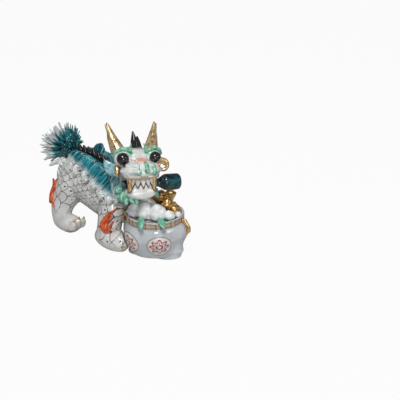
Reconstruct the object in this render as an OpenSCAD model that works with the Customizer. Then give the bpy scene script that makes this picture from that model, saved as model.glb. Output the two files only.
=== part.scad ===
// A glazed porcelain guardian lion-dog: a crouching beast with a dragon's head,
// its paws round a pot of treasure and a scroll in its mouth.
// Every clay piece is its own solid, cut to seat on the pieces that carry it.
// The beast faces -Y, +X is its left, and it stands on Z = 0.

/* [Trunk] */
// Length of the trunk from rump to chest
trunk_len = 129; // [126:1:131]
// Widest measure across the trunk
trunk_w = 68; // [65:1:71]
// Height of the trunk at the hips
trunk_h = 66; // [64:1:69]
// Height of the trunk's middle line over the hips
hip_z = 65; // [64:1:67]
// Height of the trunk's middle line at the chest
chest_z = 42; // [41:1:44]
// Wall of the slip-cast trunk
trunk_wall = 4; // [3:0.5:5]
// Diameter of the firing vent under the belly
vent_d = 3; // [2:0.5:3.5]

/* [Legs] */
// Distance between the middle lines of the hind feet
hind_stance = 76; // [72:1:80]
// Distance between the middle lines of the front paws
front_stance = 76; // [74:1:80]
// Radius of a leg at the ankle
ankle_r = 13; // [12:0.5:14]
// Length of a claw outside its toe
claw_len = 7; // [6:0.5:9]
// Radius of a claw at its root
claw_r = 2.2; // [1.8:0.1:2.6]

/* [Neck and head] */
// Radius of the neck at its middle
neck_r = 19; // [18:0.5:20]
// Half the width of the skull
skull_r = 24; // [23:0.5:25]
// Half the width of the muzzle
muzzle_r = 24; // [23:0.5:25]
// Radius of each domed eye socket
socket_r = 11.5; // [11:0.25:12]
// Radius of each eyeball
eye_r = 7.5; // [7:0.25:8]
// Length of each horn outside the skull
horn_len = 32; // [29:1:35]
// Radius of a horn at its root
horn_r = 9.5; // [8.5:0.5:10]
// Height of the crest spike
crest_h = 20; // [17:1:23]
// Turn of the head towards the beast's right
head_yaw = 29; // [28:1:30]
// Lift of the face
head_pitch = 12; // [11:1:13]
// Tilt of the head towards its left
head_roll = 4; // [3:0.5:5]

/* [Pot and treasure] */
// Widest radius of the pot
pot_r = 43.5; // [42.5:0.5:44.5]
// Height of the pot to its rim
pot_h = 52; // [50:1:53]
// Radius of the pot's mouth, outside
mouth_r = 37; // [36:0.5:38]
// Wall of the pot
pot_wall = 3.5; // [3:0.5:4]
// Length of the pot's oblong foot
foot_len = 66; // [62:1:68]
// Width of the pot's oblong foot
foot_w = 50; // [48:1:54]
// Radius of a pot handle's rod
handle_rod = 2.2; // [2:0.1:2.6]

/* [Scroll] */
// Radius of the scroll's roller
roller_r = 5; // [4.5:0.25:5.25]
// Radius of the rolled paper outside the mouth
roll_r = 10; // [9:0.5:10.5]
// Length of the rolled paper outside the mouth
roll_len = 28; // [24:1:30]

/* [Hidden] */
seam = 0.15;          // glaze joint between two seated pieces
pot_gap = 4;          // clearance between the chest and the pot's belly
fit = 0.35;           // clearance round the loose scroll
rump_y = 101;
chest_y = rump_y - trunk_len;
head_at = [-21, chest_y - 38, 126];     // middle of the line between the eyes
pot_at = [-4, chest_y - pot_gap - pot_r, 0];
pot_turn = -71;       // bearing of the pot's long axis
sole = 400;           // size of the block that trims the soles flat
handle_reach = 2.5;   // how far a handle's middle line stands out from the belly
laid_w = 68;          // width and length of the trunk that the hair's points are laid on
laid_len = 129;

// ---- lofts and strands -------------------------------------------------------------------

function front_end() = pot_at[1] + (pot_r + handle_reach) * sin(pot_turn) - handle_rod;
function back_end() = plume_root[1] + max([for (a = plume_aims) a[1]]) + finger_tip;

// Puts the middle of the whole object's length at Y = 0.
module placed() translate([0, -(front_end() + back_end()) / 2, 0]) children();

// Points given from the chest, moved to where the chest is.
function at_chest(list) = [for (p = list) [p[0], p[1] + chest_y, for (i = [2 : len(p) - 1]) p[i]]];
// Points of hair laid on the drawn trunk, moved with the trunk's width and length.
function on_trunk(list) = [for (p = list)
    [p[0] * trunk_w / laid_w, rump_y - (rump_y - p[1]) * trunk_len / laid_len,
     for (i = [2 : len(p) - 1]) p[i]]];

function unit(v) = v / norm(v);
function spline(p, i, t) =
    let (a = p[max(i - 1, 0)], b = p[i], c = p[i + 1], d = p[min(i + 2, len(p) - 1)])
    0.5 * (2 * b + (c - a) * t + (2 * a - 5 * b + 4 * c - d) * t * t
        + (3 * b - a - 3 * c + d) * t * t * t);
function smooth(p, k) =
    [for (i = [0 : len(p) - 2], j = [0 : k - 1]) spline(p, i, j / k), p[len(p) - 1]];

// A smooth solid through stations [x, y, z, half width, half height], facing up along hint.
module loft(stations, hint, grow = 0, sides = 16, steps = 2) {
    rings = smooth(stations, steps);
    m = len(rings);
    at = [for (s = rings) [s[0], s[1], s[2]]];
    walls = [for (i = [0 : m - 1])
        let (t = unit(at[min(i + 1, m - 1)] - at[max(i - 1, 0)]),
             u = unit(cross(t, hint)), v = cross(u, t))
        for (j = [0 : sides - 1])
            at[i] + u * (rings[i][3] + grow) * cos(360 * j / sides)
                  + v * (rings[i][4] + grow) * sin(360 * j / sides)];
    head = at[0] + unit(at[0] - at[1]) * (rings[0][4] * 0.4 + grow);
    tail = at[m - 1] + unit(at[m - 1] - at[m - 2]) * (rings[m - 1][4] * 0.4 + grow);
    faces = [
        for (i = [0 : m - 2], j = [0 : sides - 1]) let (k = (j + 1) % sides)
            each [[i * sides + j, i * sides + k, (i + 1) * sides + j],
                  [i * sides + k, (i + 1) * sides + k, (i + 1) * sides + j]],
        for (j = [0 : sides - 1]) [m * sides, (j + 1) % sides, j],
        for (j = [0 : sides - 1])
            [m * sides + 1, (m - 1) * sides + j, (m - 1) * sides + (j + 1) % sides]];
    polyhedron([each walls, head, tail], faces, convexity = 8);
}

// A ball through the same faceting, for pieces that join lofted ones.
module knob(at, r, grow = 0) loft([for (a = [-75 : 30 : 75])
    [at[0], at[1] + r * sin(a), at[2], r * cos(a), r * cos(a)]], [0, 0, 1], grow, sides = 16, steps = 1);

// A tapering strand through points [x, y, z, radius]: one hull for each stretch.
module strand(p, fn = 10, grow = 0) {
    for (i = [0 : len(p) - 2])
        hull() for (q = [p[i], p[i + 1]])
            translate([q[0], q[1], q[2]]) sphere(q[3] + grow, $fn = fn);
}

module above_floor() translate([-sole / 2, -sole / 2, 0]) cube(sole);

module side(s) {
    if (s > 0) children();
    else mirror([1, 0, 0]) children();
}

// ---- trunk -------------------------------------------------------------------------------

function trunk_z(drop) = hip_z + (chest_z - hip_z) * drop;
// [share of the length from the rump, share of the drop to the chest, width share, height share]
trunk_shape = [[0, 0.14, 0.3, 0.32], [0.05, 0.08, 0.72, 0.74], [0.2, 0.02, 0.93, 0.95],
    [0.38, 0, 1, 1], [0.65, 0.43, 0.97, 1], [0.82, 0.74, 0.94, 0.92], [0.95, 0.95, 0.7, 0.68],
    [1, 1, 0.35, 0.35]];
trunk_stations = [for (s = trunk_shape)
    [0, rump_y - s[0] * trunk_len, trunk_z(s[1]), s[2] * trunk_w / 2, s[3] * trunk_h / 2]];

module trunk_form(grow = 0) loft(trunk_stations, [0, 0, 1], grow, sides = 20, steps = 2);

module torso() color("white") placed() difference() {
    trunk_form();
    trunk_form(-trunk_wall);
    translate([0, rump_y - 0.45 * trunk_len, 0]) cylinder(h = hip_z, d = vent_d, $fn = 24);
}

// ---- legs --------------------------------------------------------------------------------

hind_x = hind_stance / 2;
front_x = front_stance / 2;
hind_foot_y = 60;      // middle of a hind foot
toe_gap = 8;          // spacing of the toes across a foot
toe_r = 5.5;

hind_shank = [[0.2 * trunk_w, hind_foot_y + 4, hip_z + 10, 14, 16],
    [0.28 * trunk_w, hind_foot_y + 6, hip_z, 18, 22],
    [0.38 * trunk_w, hind_foot_y + 10, hip_z - 15, 18, 22],
    [hind_x - 6, hind_foot_y + 14, 36, 15, 18], [hind_x - 1, hind_foot_y + 14, 22, ankle_r, 14],
    [hind_x, hind_foot_y + 11, 9, ankle_r - 1, 13]];
hind_sole = [[hind_x, hind_foot_y + 22, 8, 8, 7], [hind_x, hind_foot_y + 14, 9.5, 12, 10],
    [hind_x, hind_foot_y, 10, 14, 12], [hind_x, hind_foot_y - 11, 10, 13, 11.5],
    [hind_x, hind_foot_y - 17, 10, 9, 7]];
front_shank = at_chest([[0.2 * trunk_w, 22, 58, 12, 14], [0.3 * trunk_w, 16, 48, 16, 18],
    [0.42 * trunk_w, 10, 35, 15, 17], [front_x - 2, 7, 20, 14, 16], [front_x, 7, 10, 12, 13]]);

module toe(x, y, curl) {
    strand([[x, y + 6, 9, toe_r + 1], [x, y - 4, 11 + curl, toe_r], [x, y - 8, 17 + curl, toe_r - 2]]);
}

module hind_leg_form(grow = 0) {
    loft(hind_shank, [0, -1, 0], grow, sides = 18, steps = 3);
    loft(hind_sole, [0, 0, 1], grow, sides = 18, steps = 2);
}

module hind_toes() for (i = [-1 : 1]) toe(hind_x + i * toe_gap, hind_foot_y - 15, 2 - abs(i) * 2);

module hind_leg() intersection() {
    difference() {
        union() {
            hind_leg_form();
            hind_toes();
        }
        trunk_form(seam);
    }
    above_floor();
}

module left_hind_leg() color("white") placed() hind_leg();
module right_hind_leg() color("white") placed() side(-1) hind_leg();

// The front paws turn in to clasp the pot; lean is how far the left one reaches in.
function front_sole(lean) = at_chest([[front_x, 22, 11, 9, 9], [front_x, 12, 13, 14, 13],
    [front_x - 0.1 * lean, -2, 13, 15, 15], [front_x - 0.5 * lean, -14, 12, 13, 13.5],
    [front_x - lean, -24, 11, 10, 10]]);
right_lean = 2;
left_lean = 12;

module front_leg_form(lean, grow = 0) {
    loft(front_shank, [0, -1, 0], grow);
    loft(front_sole(lean), [0, 0, 1], grow);
}

module front_leg(s, lean) intersection() {
    difference() {
        side(s) front_leg_form(lean);
        trunk_form(seam);
        neck_form(seam);
        pot_form(seam);
        for (a = handle_turns) handle_form(a, seam);
    }
    above_floor();
}

module left_front_leg() color("white") placed() front_leg(1, left_lean);
module right_front_leg() color("white") placed() front_leg(-1, right_lean);

// ---- claws and flames --------------------------------------------------------------------

module claw(at, aim) translate(at) rotate(aim)
    cylinder(h = claw_len, r1 = claw_r, r2 = claw_r / 4, $fn = 24);

module hind_claws() difference() {
    for (i = [-1 : 1]) claw([hind_x + i * toe_gap, hind_foot_y - 23, 17 + (1 - abs(i)) * 2], [20, 0, 0]);
    hind_leg_form(seam);
    hind_toes();
}

module left_hind_claws() color("gold") placed() hind_claws();
module right_hind_claws() color("gold") placed() side(-1) hind_claws();

module front_claws(s, lean) difference() {
    side(s) for (i = [-1 : 1]) let (
        x = front_x - 0.85 * lean + 7 - abs(i),
        y = chest_y - 22.5 - 0.35 * lean + 2 * abs(i))
        claw([x, y, 10 + i * 5], [85, 0, 0]);
    side(s) front_leg_form(lean, seam);
    pot_form(seam);
}

module left_front_claws() color("gold") placed() front_claws(1, left_lean);
module right_front_claws() color("gold") placed() front_claws(-1, right_lean);

hind_flame_path = [[hind_x - 1, hind_foot_y + 31, 37, 4], [hind_x - 4, hind_foot_y + 35, 50, 5],
    [hind_x - 11, hind_foot_y + 36, 68, 1.5]];
hind_flame_tongue = [[hind_x - 2, hind_foot_y + 32, 46, 5], [hind_x + 8, hind_foot_y + 27, 38, 1.5]];
front_flame_path = at_chest([[front_x + 12, 4, 22, 5], [front_x + 9, 2, 34, 4.5],
    [front_x + 1, 0, 52, 1.2]]);
front_flame_tongue = at_chest([[front_x + 12, 0, 22, 4.5], [front_x + 6, -14, 32, 1.2]]);

module hind_flame() difference() {
    union() {
        strand(hind_flame_path);
        strand(hind_flame_tongue);
    }
    hind_leg_form(seam);
    trunk_form(seam);
}

module front_flame(s, lean) difference() {
    side(s) {
        strand(front_flame_path);
        strand(front_flame_tongue);
    }
    side(s) front_leg_form(lean, seam);
    trunk_form(seam);
    pot_form(seam);
}

module left_hind_flame() color("orangered") placed() hind_flame();
module right_hind_flame() color("orangered") placed() side(-1) hind_flame();
module left_front_flame() color("orangered") placed() front_flame(1, left_lean);
module right_front_flame() color("orangered") placed() front_flame(-1, right_lean);

// ---- neck, mane, spines and tail ---------------------------------------------------------

neck_stations = at_chest([[0, 32, 46, 20, 20], [-1, 20, 64, neck_r + 3, 23],
    [-3, 8, 84, neck_r + 2, 21], [-4, -3, 101, neck_r, 18], [-6, -10, 112, neck_r - 4, 13]]);

module neck_form(grow = 0) loft(neck_stations, [0, 1, 0], grow, sides = 18);

module neck() color("white") placed() difference() {
    neck_form();
    trunk_form(seam);
    head_place() skull_form(seam);
}

// The combed mane on one flank, from the tail to the shoulder: a long sheet laid on the body.
mane_sheet = on_trunk([[7, 80, 96, 7, 3.5], [12, 68, 98, 9, 4.5], [16, 50, 98, 11, 5],
    [19, 30, 95, 12, 5], [20, 14, 89, 14, 5], [22, -2, 82, 15, 5], [23, -15, 77, 15, 4.5],
    [22, -25, 77, 11, 3.5]]);
mane_up = [0.75, 0, 0.65];       // outward from the flank
// Curled ends along the sheet's lower edge, root to tip.
mane_curls = [
    [[18, 86, 89, 4], [27, 95, 87, 3], [31, 99, 83, 1.5]],
    [[20, 66, 91, 4], [24, 64, 87, 3.5], [27, 68, 84, 1.8]],
    [[26, 48, 90, 4], [30, 44, 85, 4], [32, 48, 80, 1.8]],
    [[29, 28, 86, 4.5], [32, 23, 81, 4], [34, 27, 76, 1.8]],
    [[30, 12, 81, 4.5], [33, 6, 75, 4], [34, 10, 69, 1.8]],
    [[31, -3, 73, 4.5], [34, -9, 67, 4.5], [35, -5, 61, 1.8]],
    [[30, -16, 68, 4.5], [32, -21, 61, 4.5], [32, -17, 55, 1.8]],
    [[26, -26, 70, 4.5], [27, -29, 63, 4], [27, -27, 57, 1.8]]];
// The tuft that stands up behind the spines, on the left flank only.
tuft = [[13, 47, 98, 6], [15, 50, 107, 5.5], [15, 43, 112, 3.5], [15, 38, 108, 1.5]];
neck_lock_paths = [
    [[15, 12, 112, 4], [23, 8, 98, 5], [27, 1, 80, 4.5], [29, 0, 70, 1.5]],
    [[14, 6, 114, 4], [22, 0, 100, 5], [26, -7, 84, 4], [28, -8, 74, 1.5]],
    [[13, 0, 112, 4], [20, -9, 96, 4], [21, -17, 84, 3], [24, -19, 76, 1.5]]];

module mane_form(grow = 0) {
    loft(mane_sheet, mane_up, grow);
    for (p = mane_curls) strand(on_trunk(p), fn = 8, grow = grow);
}

module mane(s, extra = []) difference() {
    side(s) union() {
        mane_form();
        for (p = extra) strand(on_trunk(p), fn = 8);
    }
    trunk_form(seam);
    neck_form(seam);
    tail_form(seam);
    side(s) hind_leg_form(seam);
    front_leg_form(left_lean, seam);
    side(-1) front_leg_form(right_lean, seam);
}

module left_mane() color("teal") placed() mane(1, [tuft]);
module right_mane() color("teal") placed() mane(-1);

module neck_locks() color("turquoise") placed() difference() {
    for (s = [-1, 1]) side(s) for (p = neck_lock_paths) strand(at_chest(p), fn = 8);
    trunk_form(seam);
    neck_form(seam);
    head_place() {
        skull_form(seam);
        jaw_form(seam);
    }
    for (s = [-1, 1]) side(s) mane_form(seam);
}

spine_count = 8;
spine_gap = 9.5;
module dorsal_spines() color("black") placed() difference() {
    for (i = [0 : spine_count - 1])
        let (y = 66 - i * spine_gap, z = 97 - pow(max(0, i - 2), 1.7) * 0.9)
        strand(on_trunk([[0, y, z - 4, 5], [0, y + 1, z + 7, 4.4], [0, y + 5, z + 15, 1]]), fn = 8);
    trunk_form(seam);
    neck_form(seam);
    tail_form(seam);
    for (s = [-1, 1]) side(s) mane_form(seam);
}

tail_stations = [[0, 84, 84, 10, 10], [0, 90, 96, 12, 12], [0, 94, 108, 15, 14], [0, 96, 119, 12, 11],
    [0, 97, 125, 6, 5]];
plume_root = [0, 92, 104];
plume_reach = 33;     // from the root to a finger's tip
// The fingers fan out from the tail, longest at the right: lift is 0 straight back, 90 straight up.
plume_aims = [for (lift = [-35 : 23 : 149], row = [-1 : 1])
    let (out = row * 36 + (lift > 60 ? 4 : -12),
         far = plume_reach * (1 + 0.1 * cos(lift) - 0.13 * row - (lift > 100 ? 0.22 : 0)))
    far * [sin(out), cos(out) * cos(lift), cos(out) * sin(lift)]];

finger_r = 4;
finger_tip = 0.9;
module tail_form(grow = 0) loft(tail_stations, [0, 1, 0], grow);

module tail_stem() color("teal") placed() difference() {
    tail_form();
    trunk_form(seam);
}

module tail_plume() color("darkcyan") placed() difference() {
    for (a = plume_aims)
        strand([[each plume_root, 6], [each (plume_root + a * 0.58 + [0, 1, -2]), finger_r],
            [each (plume_root + a), finger_tip]], fn = 8);
    tail_form(seam);
    trunk_form(seam);
}

// ---- head --------------------------------------------------------------------------------
// Head frame: zero between the eyes, face towards -Y, chin down.

module head_place() translate(head_at) rotate([-head_pitch, head_roll, -head_yaw]) children();

eye_x = 20;
socket_at = [eye_x - 2, 3, 1];
mouth_z = -31;        // height of the scroll in the mouth

skull_stations = [[0, -4, -4, 13, 10], [0, 3, -3, skull_r - 5, 14], [0, 15, -3, skull_r, 16],
    [0, 29, -6, skull_r - 1, 17.5], [0, 41, -9, skull_r - 9, 13], [0, 45, -10, 8, 7]];
muzzle_stations = [[0, 10, -14, muzzle_r - 4, 12], [0, -2, -14, muzzle_r - 1, 12.5],
    [0, -13, -14, muzzle_r, 12.5], [0, -22, -15, muzzle_r - 5, 10.5], [0, -27, -16, 10, 6]];
jaw_stations = [[0, 32, -22, 16, 10], [0, 22, -32, 18, 11], [0, 10, -39, 19, 8.5],
    [0, -4, -41.5, 19.5, 8], [0, -14, -41, 18, 8], [0, -19, -40.5, 13.5, 6.2]];

module skull_form(grow = 0) {
    loft(skull_stations, [0, 0, 1], grow, sides = 20);
    for (s = [-1, 1]) side(s) knob(socket_at, socket_r, grow);
}

module muzzle_form(grow = 0) loft(muzzle_stations, [0, 0, 1], grow, sides = 20);
module jaw_form(grow = 0) loft(jaw_stations, [0, 0, 1], grow, sides = 18);

module eyeballs(grow = 0) for (s = [-1, 1])
    translate([s * eye_x, -4.5, 0]) sphere(eye_r + grow, $fn = 40);

module skull() color("white") placed() head_place() difference() {
    skull_form();
    eyeballs(seam);
}

module muzzle() color("white") placed() head_place() difference() {
    muzzle_form();
    skull_form(seam);
    eyeballs(seam);
    scroll_bar(fit);
}

module lower_jaw() color("white") placed() difference() {
    head_place() difference() {
        jaw_form();
        skull_form(seam);
        scroll_bar(fit);
    }
    neck_form(seam);
}

module left_eye() color("black") placed() head_place() translate([eye_x, -4.5, 0]) sphere(eye_r, $fn = 40);
module right_eye() color("black") placed() head_place() translate([-eye_x, -4.5, 0]) sphere(eye_r, $fn = 40);

// Pointed teeth side by side along the lips, each at an angle from the middle of the mouth.
tooth_r = 3.3;
tooth_arc = 16;       // radius of the curve the teeth stand on
lower_arc = 0.93;     // how far inside the upper teeth the lower ones stand
bite = 0.9;           // gap between the upper and lower teeth
upper_set = [-44 : 22 : 44];
lower_set = [-33 : 22 : 33];
module teeth(set, root_z, tip_z, grow = 0) for (a = set)
    let (down = root_z > tip_z)
    translate([tooth_arc * sin(a), -3 - tooth_arc * cos(a), min(root_z, tip_z) - grow])
        cylinder(h = abs(root_z - tip_z) + 2 * grow, r1 = (down ? tooth_r / 4 : tooth_r) + grow,
            r2 = (down ? tooth_r : tooth_r / 4) + grow, $fn = 24);

module upper_row(grow = 0) teeth(upper_set, -21, -36, grow);

module upper_teeth() color("ivory") placed() head_place() difference() {
    upper_row();
    muzzle_form(seam);
    jaw_form(seam);
    fangs(seam);
}

module lower_teeth() color("ivory") placed() head_place() difference() {
    scale([lower_arc, lower_arc, 1]) teeth(lower_set, -39, -27.5);
    jaw_form(seam);
    upper_row(bite);
}

fang_at = [15, -14.5, -40];
fang_len = 22;
fang_r = 4.2;
module one_fang(grow = 0) translate([fang_at[0], fang_at[1], fang_at[2] - grow])
    cylinder(h = fang_len, r1 = fang_r / 2.5 + grow, r2 = fang_r + grow, $fn = 24);
module fangs(grow = 0) for (s = [-1, 1]) side(s) one_fang(grow);

module fang() difference() {
    one_fang();
    muzzle_form(seam);
    jaw_form(seam);
}

module left_fang() color("gold") placed() head_place() fang();
module right_fang() color("gold") placed() head_place() side(-1) fang();

brow_path = [[9, -3, 7.5, 1.6], [13, -5, 10.5, 2.2], [20, -4, 12, 2.6], [27, 0, 9, 2.4],
    [30, 3, 4, 1.6]];
brow_tuft = [[11, -3, 9, 2.2], [8, 1, 17, 0.8]];

module brow() difference() {
    union() {
        strand(brow_path);
        strand(brow_tuft);
    }
    skull_form(seam);
    eyeballs(seam);
    horn_form(seam);
}

module left_brow() color("mediumaquamarine") placed() head_place() brow();
module right_brow() color("mediumaquamarine") placed() head_place() side(-1) brow();

horn_aim = unit([8, 11, 28]);
horn_root = [20, 15, 6];
module horn_form(grow = 0) {
    a = horn_root;
    b = a + horn_aim * (horn_len + 8);
    m = (a + b) / 2 + [1, 1, 0];
    loft([[each a, horn_r, horn_r], [each m, horn_r * 0.6, horn_r * 0.6], [each b, 1, 1]],
        [0, 1, 0], grow, sides = 14);
    c = a + horn_aim * horn_len * 0.8 + [1.5, 0, 0];
    loft([[each c, horn_r * 0.3, horn_r * 0.3], [each (c + horn_aim * 6 + [1, 0, 0]), 1.8, 1.8],
        [each (c + horn_aim * 12 + [1.5, 1, 0]), 0.7, 0.7]], [0, 1, 0], grow, sides = 10);
}

module horn() difference() {
    horn_form();
    skull_form(seam);
}

module left_horn() color("goldenrod") placed() head_place() horn();
module right_horn() color("goldenrod") placed() head_place() side(-1) horn();

module crest_spike() color("black") placed() head_place() difference() {
    union() {
        strand([[0, 10, 7, 5.5], [-1, 12, 19, 4.5], [-2, 14, 11 + crest_h, 1]]);
        strand([[5, 12, 8, 5], [4, 14, 16, 4], [4, 16, 5 + crest_h, 0.8]]);
    }
    skull_form(seam);
}

module ear() difference() {
    loft([[18, 22, -17, 3, 6], [25, 24, -16, 2.8, 8], [31, 26, -11, 2.4, 6.5], [35, 28, -4, 1, 1.8]],
        [0, 0, 1], sides = 12);
    skull_form(seam);
}

module left_ear() color("paleturquoise") placed() head_place() ear();
module right_ear() color("paleturquoise") placed() head_place() side(-1) ear();

module nose_ridge_form(grow = 0) strand([[-10, -13, -6, 1.6], [-6, -14, -2.6, 2.2],
    [0, -14, -1.2, 2.4], [6, -14, -2.6, 2.2], [10, -13, -6, 1.6]], grow = grow);

module nose_ridge() color("salmon") placed() head_place() difference() {
    nose_ridge_form();
    muzzle_form(seam);
    skull_form(seam);
}

curl_gap = 9.5;       // spacing of the three curls on the nose
module nose_curls() color("mediumseagreen") placed() head_place() difference() {
    for (i = [-1 : 1]) let (x = i * curl_gap + 3, mid = 1 - abs(i))
        strand([[x * 0.9, -20 - mid, -5 + 1.5 * mid, 1.8], [x * 0.95, -24 - mid, -8.5 + 2 * mid, 2.8],
            [x, -26 - 1.5 * mid, -15 + 2 * mid, 4]]);
    muzzle_form(seam);
    nose_ridge_form(seam);
}

// Gold whiskers: each winds up on itself beside the cheek.
coil_r = 9.5;
coil_rod = 2.5;
coil_path = [for (t = [0 : 30 : 540]) let (r = coil_r * (1 - t / 720))
    [r * cos(t), 0, r * sin(t), coil_rod * (1 - t / 1200)]];

module whisker(at, turn) difference() {
    translate(at) rotate(turn) strand(coil_path, fn = 12);
    skull_form(seam);
    muzzle_form(seam);
}

module left_whisker() color("gold") placed() head_place() whisker([eye_x + 12, 4, -9], -8);
module right_whisker() color("gold") placed() head_place() whisker([-eye_x - 6, 6, -15], 68);

// Tufts under the jaw: three on the beast's right and one at the left corner.
beard_tufts = [[[-17, 10, -37, 4], [-22, 7, -43, 5.5], [-24, 3, -50, 2.5]],
    [[-16, 3, -43, 4], [-18, -3, -48, 5], [-18, -7, -54, 2]],
    [[-9, -6, -46, 4], [-8, -11, -49, 4], [-7, -14, -53, 2]],
    [[17, 10, -37, 4], [22, 7, -43, 5], [24, 3, -49, 2]]];
module beard() color("mediumaquamarine") placed() head_place() difference() {
    for (p = beard_tufts) strand(p);
    jaw_form(seam);
}

// ---- pot and treasure --------------------------------------------------------------------

foot_h = 9;
band_h = 9;
ledge_z = pot_h - 11;  // where the treasure's bed rests
bed_h = 9;
bed_z = ledge_z + bed_h;

// Outside of the pot as [share of the radius, height]
pot_profile = [[0.78, foot_h - 6], [0.86, 9], [0.94, 16], [1, 26], [0.98, 33], [0.91, 39]];

module pot_bowl(grow = 0) rotate_extrude($fn = 96) polygon([
    [0, foot_h - 3 - grow],
    for (p = pot_profile) [p[0] * pot_r + grow, p[1]],
    [mouth_r - 1 + grow, pot_h - band_h],
    [mouth_r + grow, pot_h - band_h + 1],
    [mouth_r + grow, pot_h + grow],
    [0, pot_h + grow]]);

module pot_foot(grow = 0) rotate(pot_turn) hull()
    for (x = [-1, 1], y = [-1, 1]) translate([x * (foot_len / 2 - 14), y * (foot_w / 2 - 14), 0])
        cylinder(h = foot_h, r1 = 14 + grow, r2 = 12 + grow, $fn = 32);

module pot_form(grow = 0) translate(pot_at) {
    pot_bowl(grow);
    pot_foot(grow);
}

module pot() color("aliceblue") placed() difference() {
    pot_form();
    translate(pot_at) {
        translate([0, 0, pot_wall + 5]) cylinder(h = pot_h, r = mouth_r - pot_wall - 8, $fn = 72);
        translate([0, 0, ledge_z]) cylinder(h = pot_h, r = mouth_r - pot_wall, $fn = 72);
        translate([0, 0, -1]) cylinder(h = pot_h / 2, d = vent_d, $fn = 24);
    }
}

module treasure_bed() color("lightslategray") placed() translate([pot_at[0], pot_at[1], ledge_z])
    cylinder(h = bed_h, r = mouth_r - pot_wall - seam, $fn = 72);

// A handle, bent from the rim's band down to the belly.
handle_bend = [[mouth_r - 2, 0, pot_h - 5, handle_rod], [mouth_r + 4, 0, pot_h - 6, handle_rod],
    [pot_r + handle_reach, 0, pot_h - 14, handle_rod], [pot_r + handle_reach, 0, pot_h - 19, handle_rod],
    [pot_r - 4, 0, pot_h - 26, handle_rod]];

handle_turns = [pot_turn, pot_turn + 180];
module handle_form(a, grow = 0) translate(pot_at) rotate(a) strand(handle_bend, fn = 16, grow = grow);

module pot_handle(a) difference() {
    handle_form(a);
    pot_form(seam);
}

module left_pot_handle() color("gold") placed() pot_handle(handle_turns[0]);
module right_pot_handle() color("gold") placed() pot_handle(handle_turns[1]);

// Everything in the pot is placed from the pot's axis.
peach_spots = [[-22, 13, 10], [-18, -2, 11.5], [-12, -16, 11], [-2, -26, 7], [-7, 7, 12]];
module peach_forms(grow = 0) translate(pot_at) for (p = peach_spots)
    translate([p[0], p[1], bed_z + p[2] - 3]) sphere(p[2] + grow, $fn = 48);

module peaches() color("snow") placed() difference() {
    peach_forms();
    treasure_block();
    jaw_block();
}

// The bed and the rim, for trimming what lies on them.
module treasure_block() {
    pot_form(0);
    translate([pot_at[0], pot_at[1], ledge_z])
        cylinder(h = bed_h + seam, r = mouth_r, $fn = 72);
}

module leaf(at, aim, length) translate(at) rotate(aim) hull() {
    translate([0, -length / 2, 0]) sphere(r = 1, $fn = 10);
    scale([1, 1, 0.35]) sphere(r = length * 0.3, $fn = 14);
    translate([0, length / 2, 0]) sphere(r = 1, $fn = 10);
}

module peach_leaves() color("mediumaquamarine") placed() difference() {
    translate(pot_at) {
        leaf([-36, -10, pot_h], [30, -35, -60], 20);
        leaf([-21, -31, pot_h + 1], [25, 10, -25], 18);
        leaf([-7, -28, pot_h + 1], [20, 20, 30], 15);
    }
    pot_form(seam);
    treasure_block();
    peach_forms(seam);
}

// [x, y, height over the bed, turn]
ingot_spots = [[7, -4, 0, 20], [22, -11, 0, -35], [13, -21, 0, 60], [21, 6, 0, 80], [8, 10, 0, 40],
    [15, -7, 10, 50], [8, -14, 9, 0], [22, -1, 9, 15], [14, 5, 10, 95], [20, -8, 18, 70],
    [9, -3, 18, 110]];
module ingot(p, grow = 0) translate([pot_at[0] + p[0], pot_at[1] + p[1], bed_z + p[2]]) rotate(p[3]) {
    translate([0, 0, -1 - grow]) cylinder(h = 7 + 2 * grow, r1 = 5 + grow, r2 = 8 + grow, $fn = 32);
    translate([0, 0, 7]) sphere(r = 5 + grow, $fn = 32);
}

module gold_ingots() color("gold") placed() difference() {
    for (i = [0 : len(ingot_spots) - 1]) difference() {
        ingot(ingot_spots[i]);
        for (j = [0 : 1 : i - 1]) ingot(ingot_spots[j], seam);
    }
    treasure_block();
    peach_forms(seam);
    jaw_block();
}

module jaw_block() head_place() {
    jaw_form(seam);
    scroll_bar(fit);
    scroll_roll(fit);
}

coin_r = 6;
coin_h = 2;
coin_spots = [[3, 7, 25], [15, 13, -20], [-3, 17, 5], [27, -7, 30]];
module gold_coins() color("gold") placed() difference() {
    translate(pot_at) for (p = coin_spots) translate([p[0], p[1], bed_z]) rotate([p[2], 0, 0])
        cylinder(h = coin_h, r = coin_r, $fn = 32);
    treasure_block();
    peach_forms(seam);
    for (p = ingot_spots) ingot(p, seam);
    neck_form(seam);
    pearl_forms(seam);
}

pearl_r = 4;
module pearl_forms(grow = 0) translate(pot_at) for (p = [[9, -31], [-5, 25]])
    translate([p[0], p[1], bed_z + pearl_r]) sphere(pearl_r + grow, $fn = 40);

module pearls() color("white") placed() difference() {
    pearl_forms();
    treasure_block();
    for (p = ingot_spots) ingot(p, seam);
    peach_forms(seam);
}

// ---- scroll, the one loose piece ---------------------------------------------------------

bar_start = -22;      // right end of the roller, across the mouth
roll_start = 24;      // where the roll begins, clear of the lips
flare = 8;            // length of the roll's tapered end
roll_round = 2.5;     // bevel of the roll's outer end

module scroll_axis(x) translate([x, -3, mouth_z]) rotate([0, 90, 0]) children();

module scroll_bar(grow = 0) scroll_axis(bar_start - grow)
    cylinder(h = roll_start - bar_start + 2 * grow, r = roller_r + grow, $fn = 48);

module scroll_roll(grow = 0) scroll_axis(roll_start - grow) {
    cylinder(h = flare, r1 = roller_r + grow, r2 = roll_r + grow, $fn = 48);
    translate([0, 0, flare])
        cylinder(h = roll_len - flare - roll_round + 2 * grow, r = roll_r + grow, $fn = 48);
    translate([0, 0, roll_len - roll_round + 2 * grow])
        cylinder(h = roll_round, r1 = roll_r + grow, r2 = roll_r - roll_round + grow, $fn = 48);
}

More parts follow.
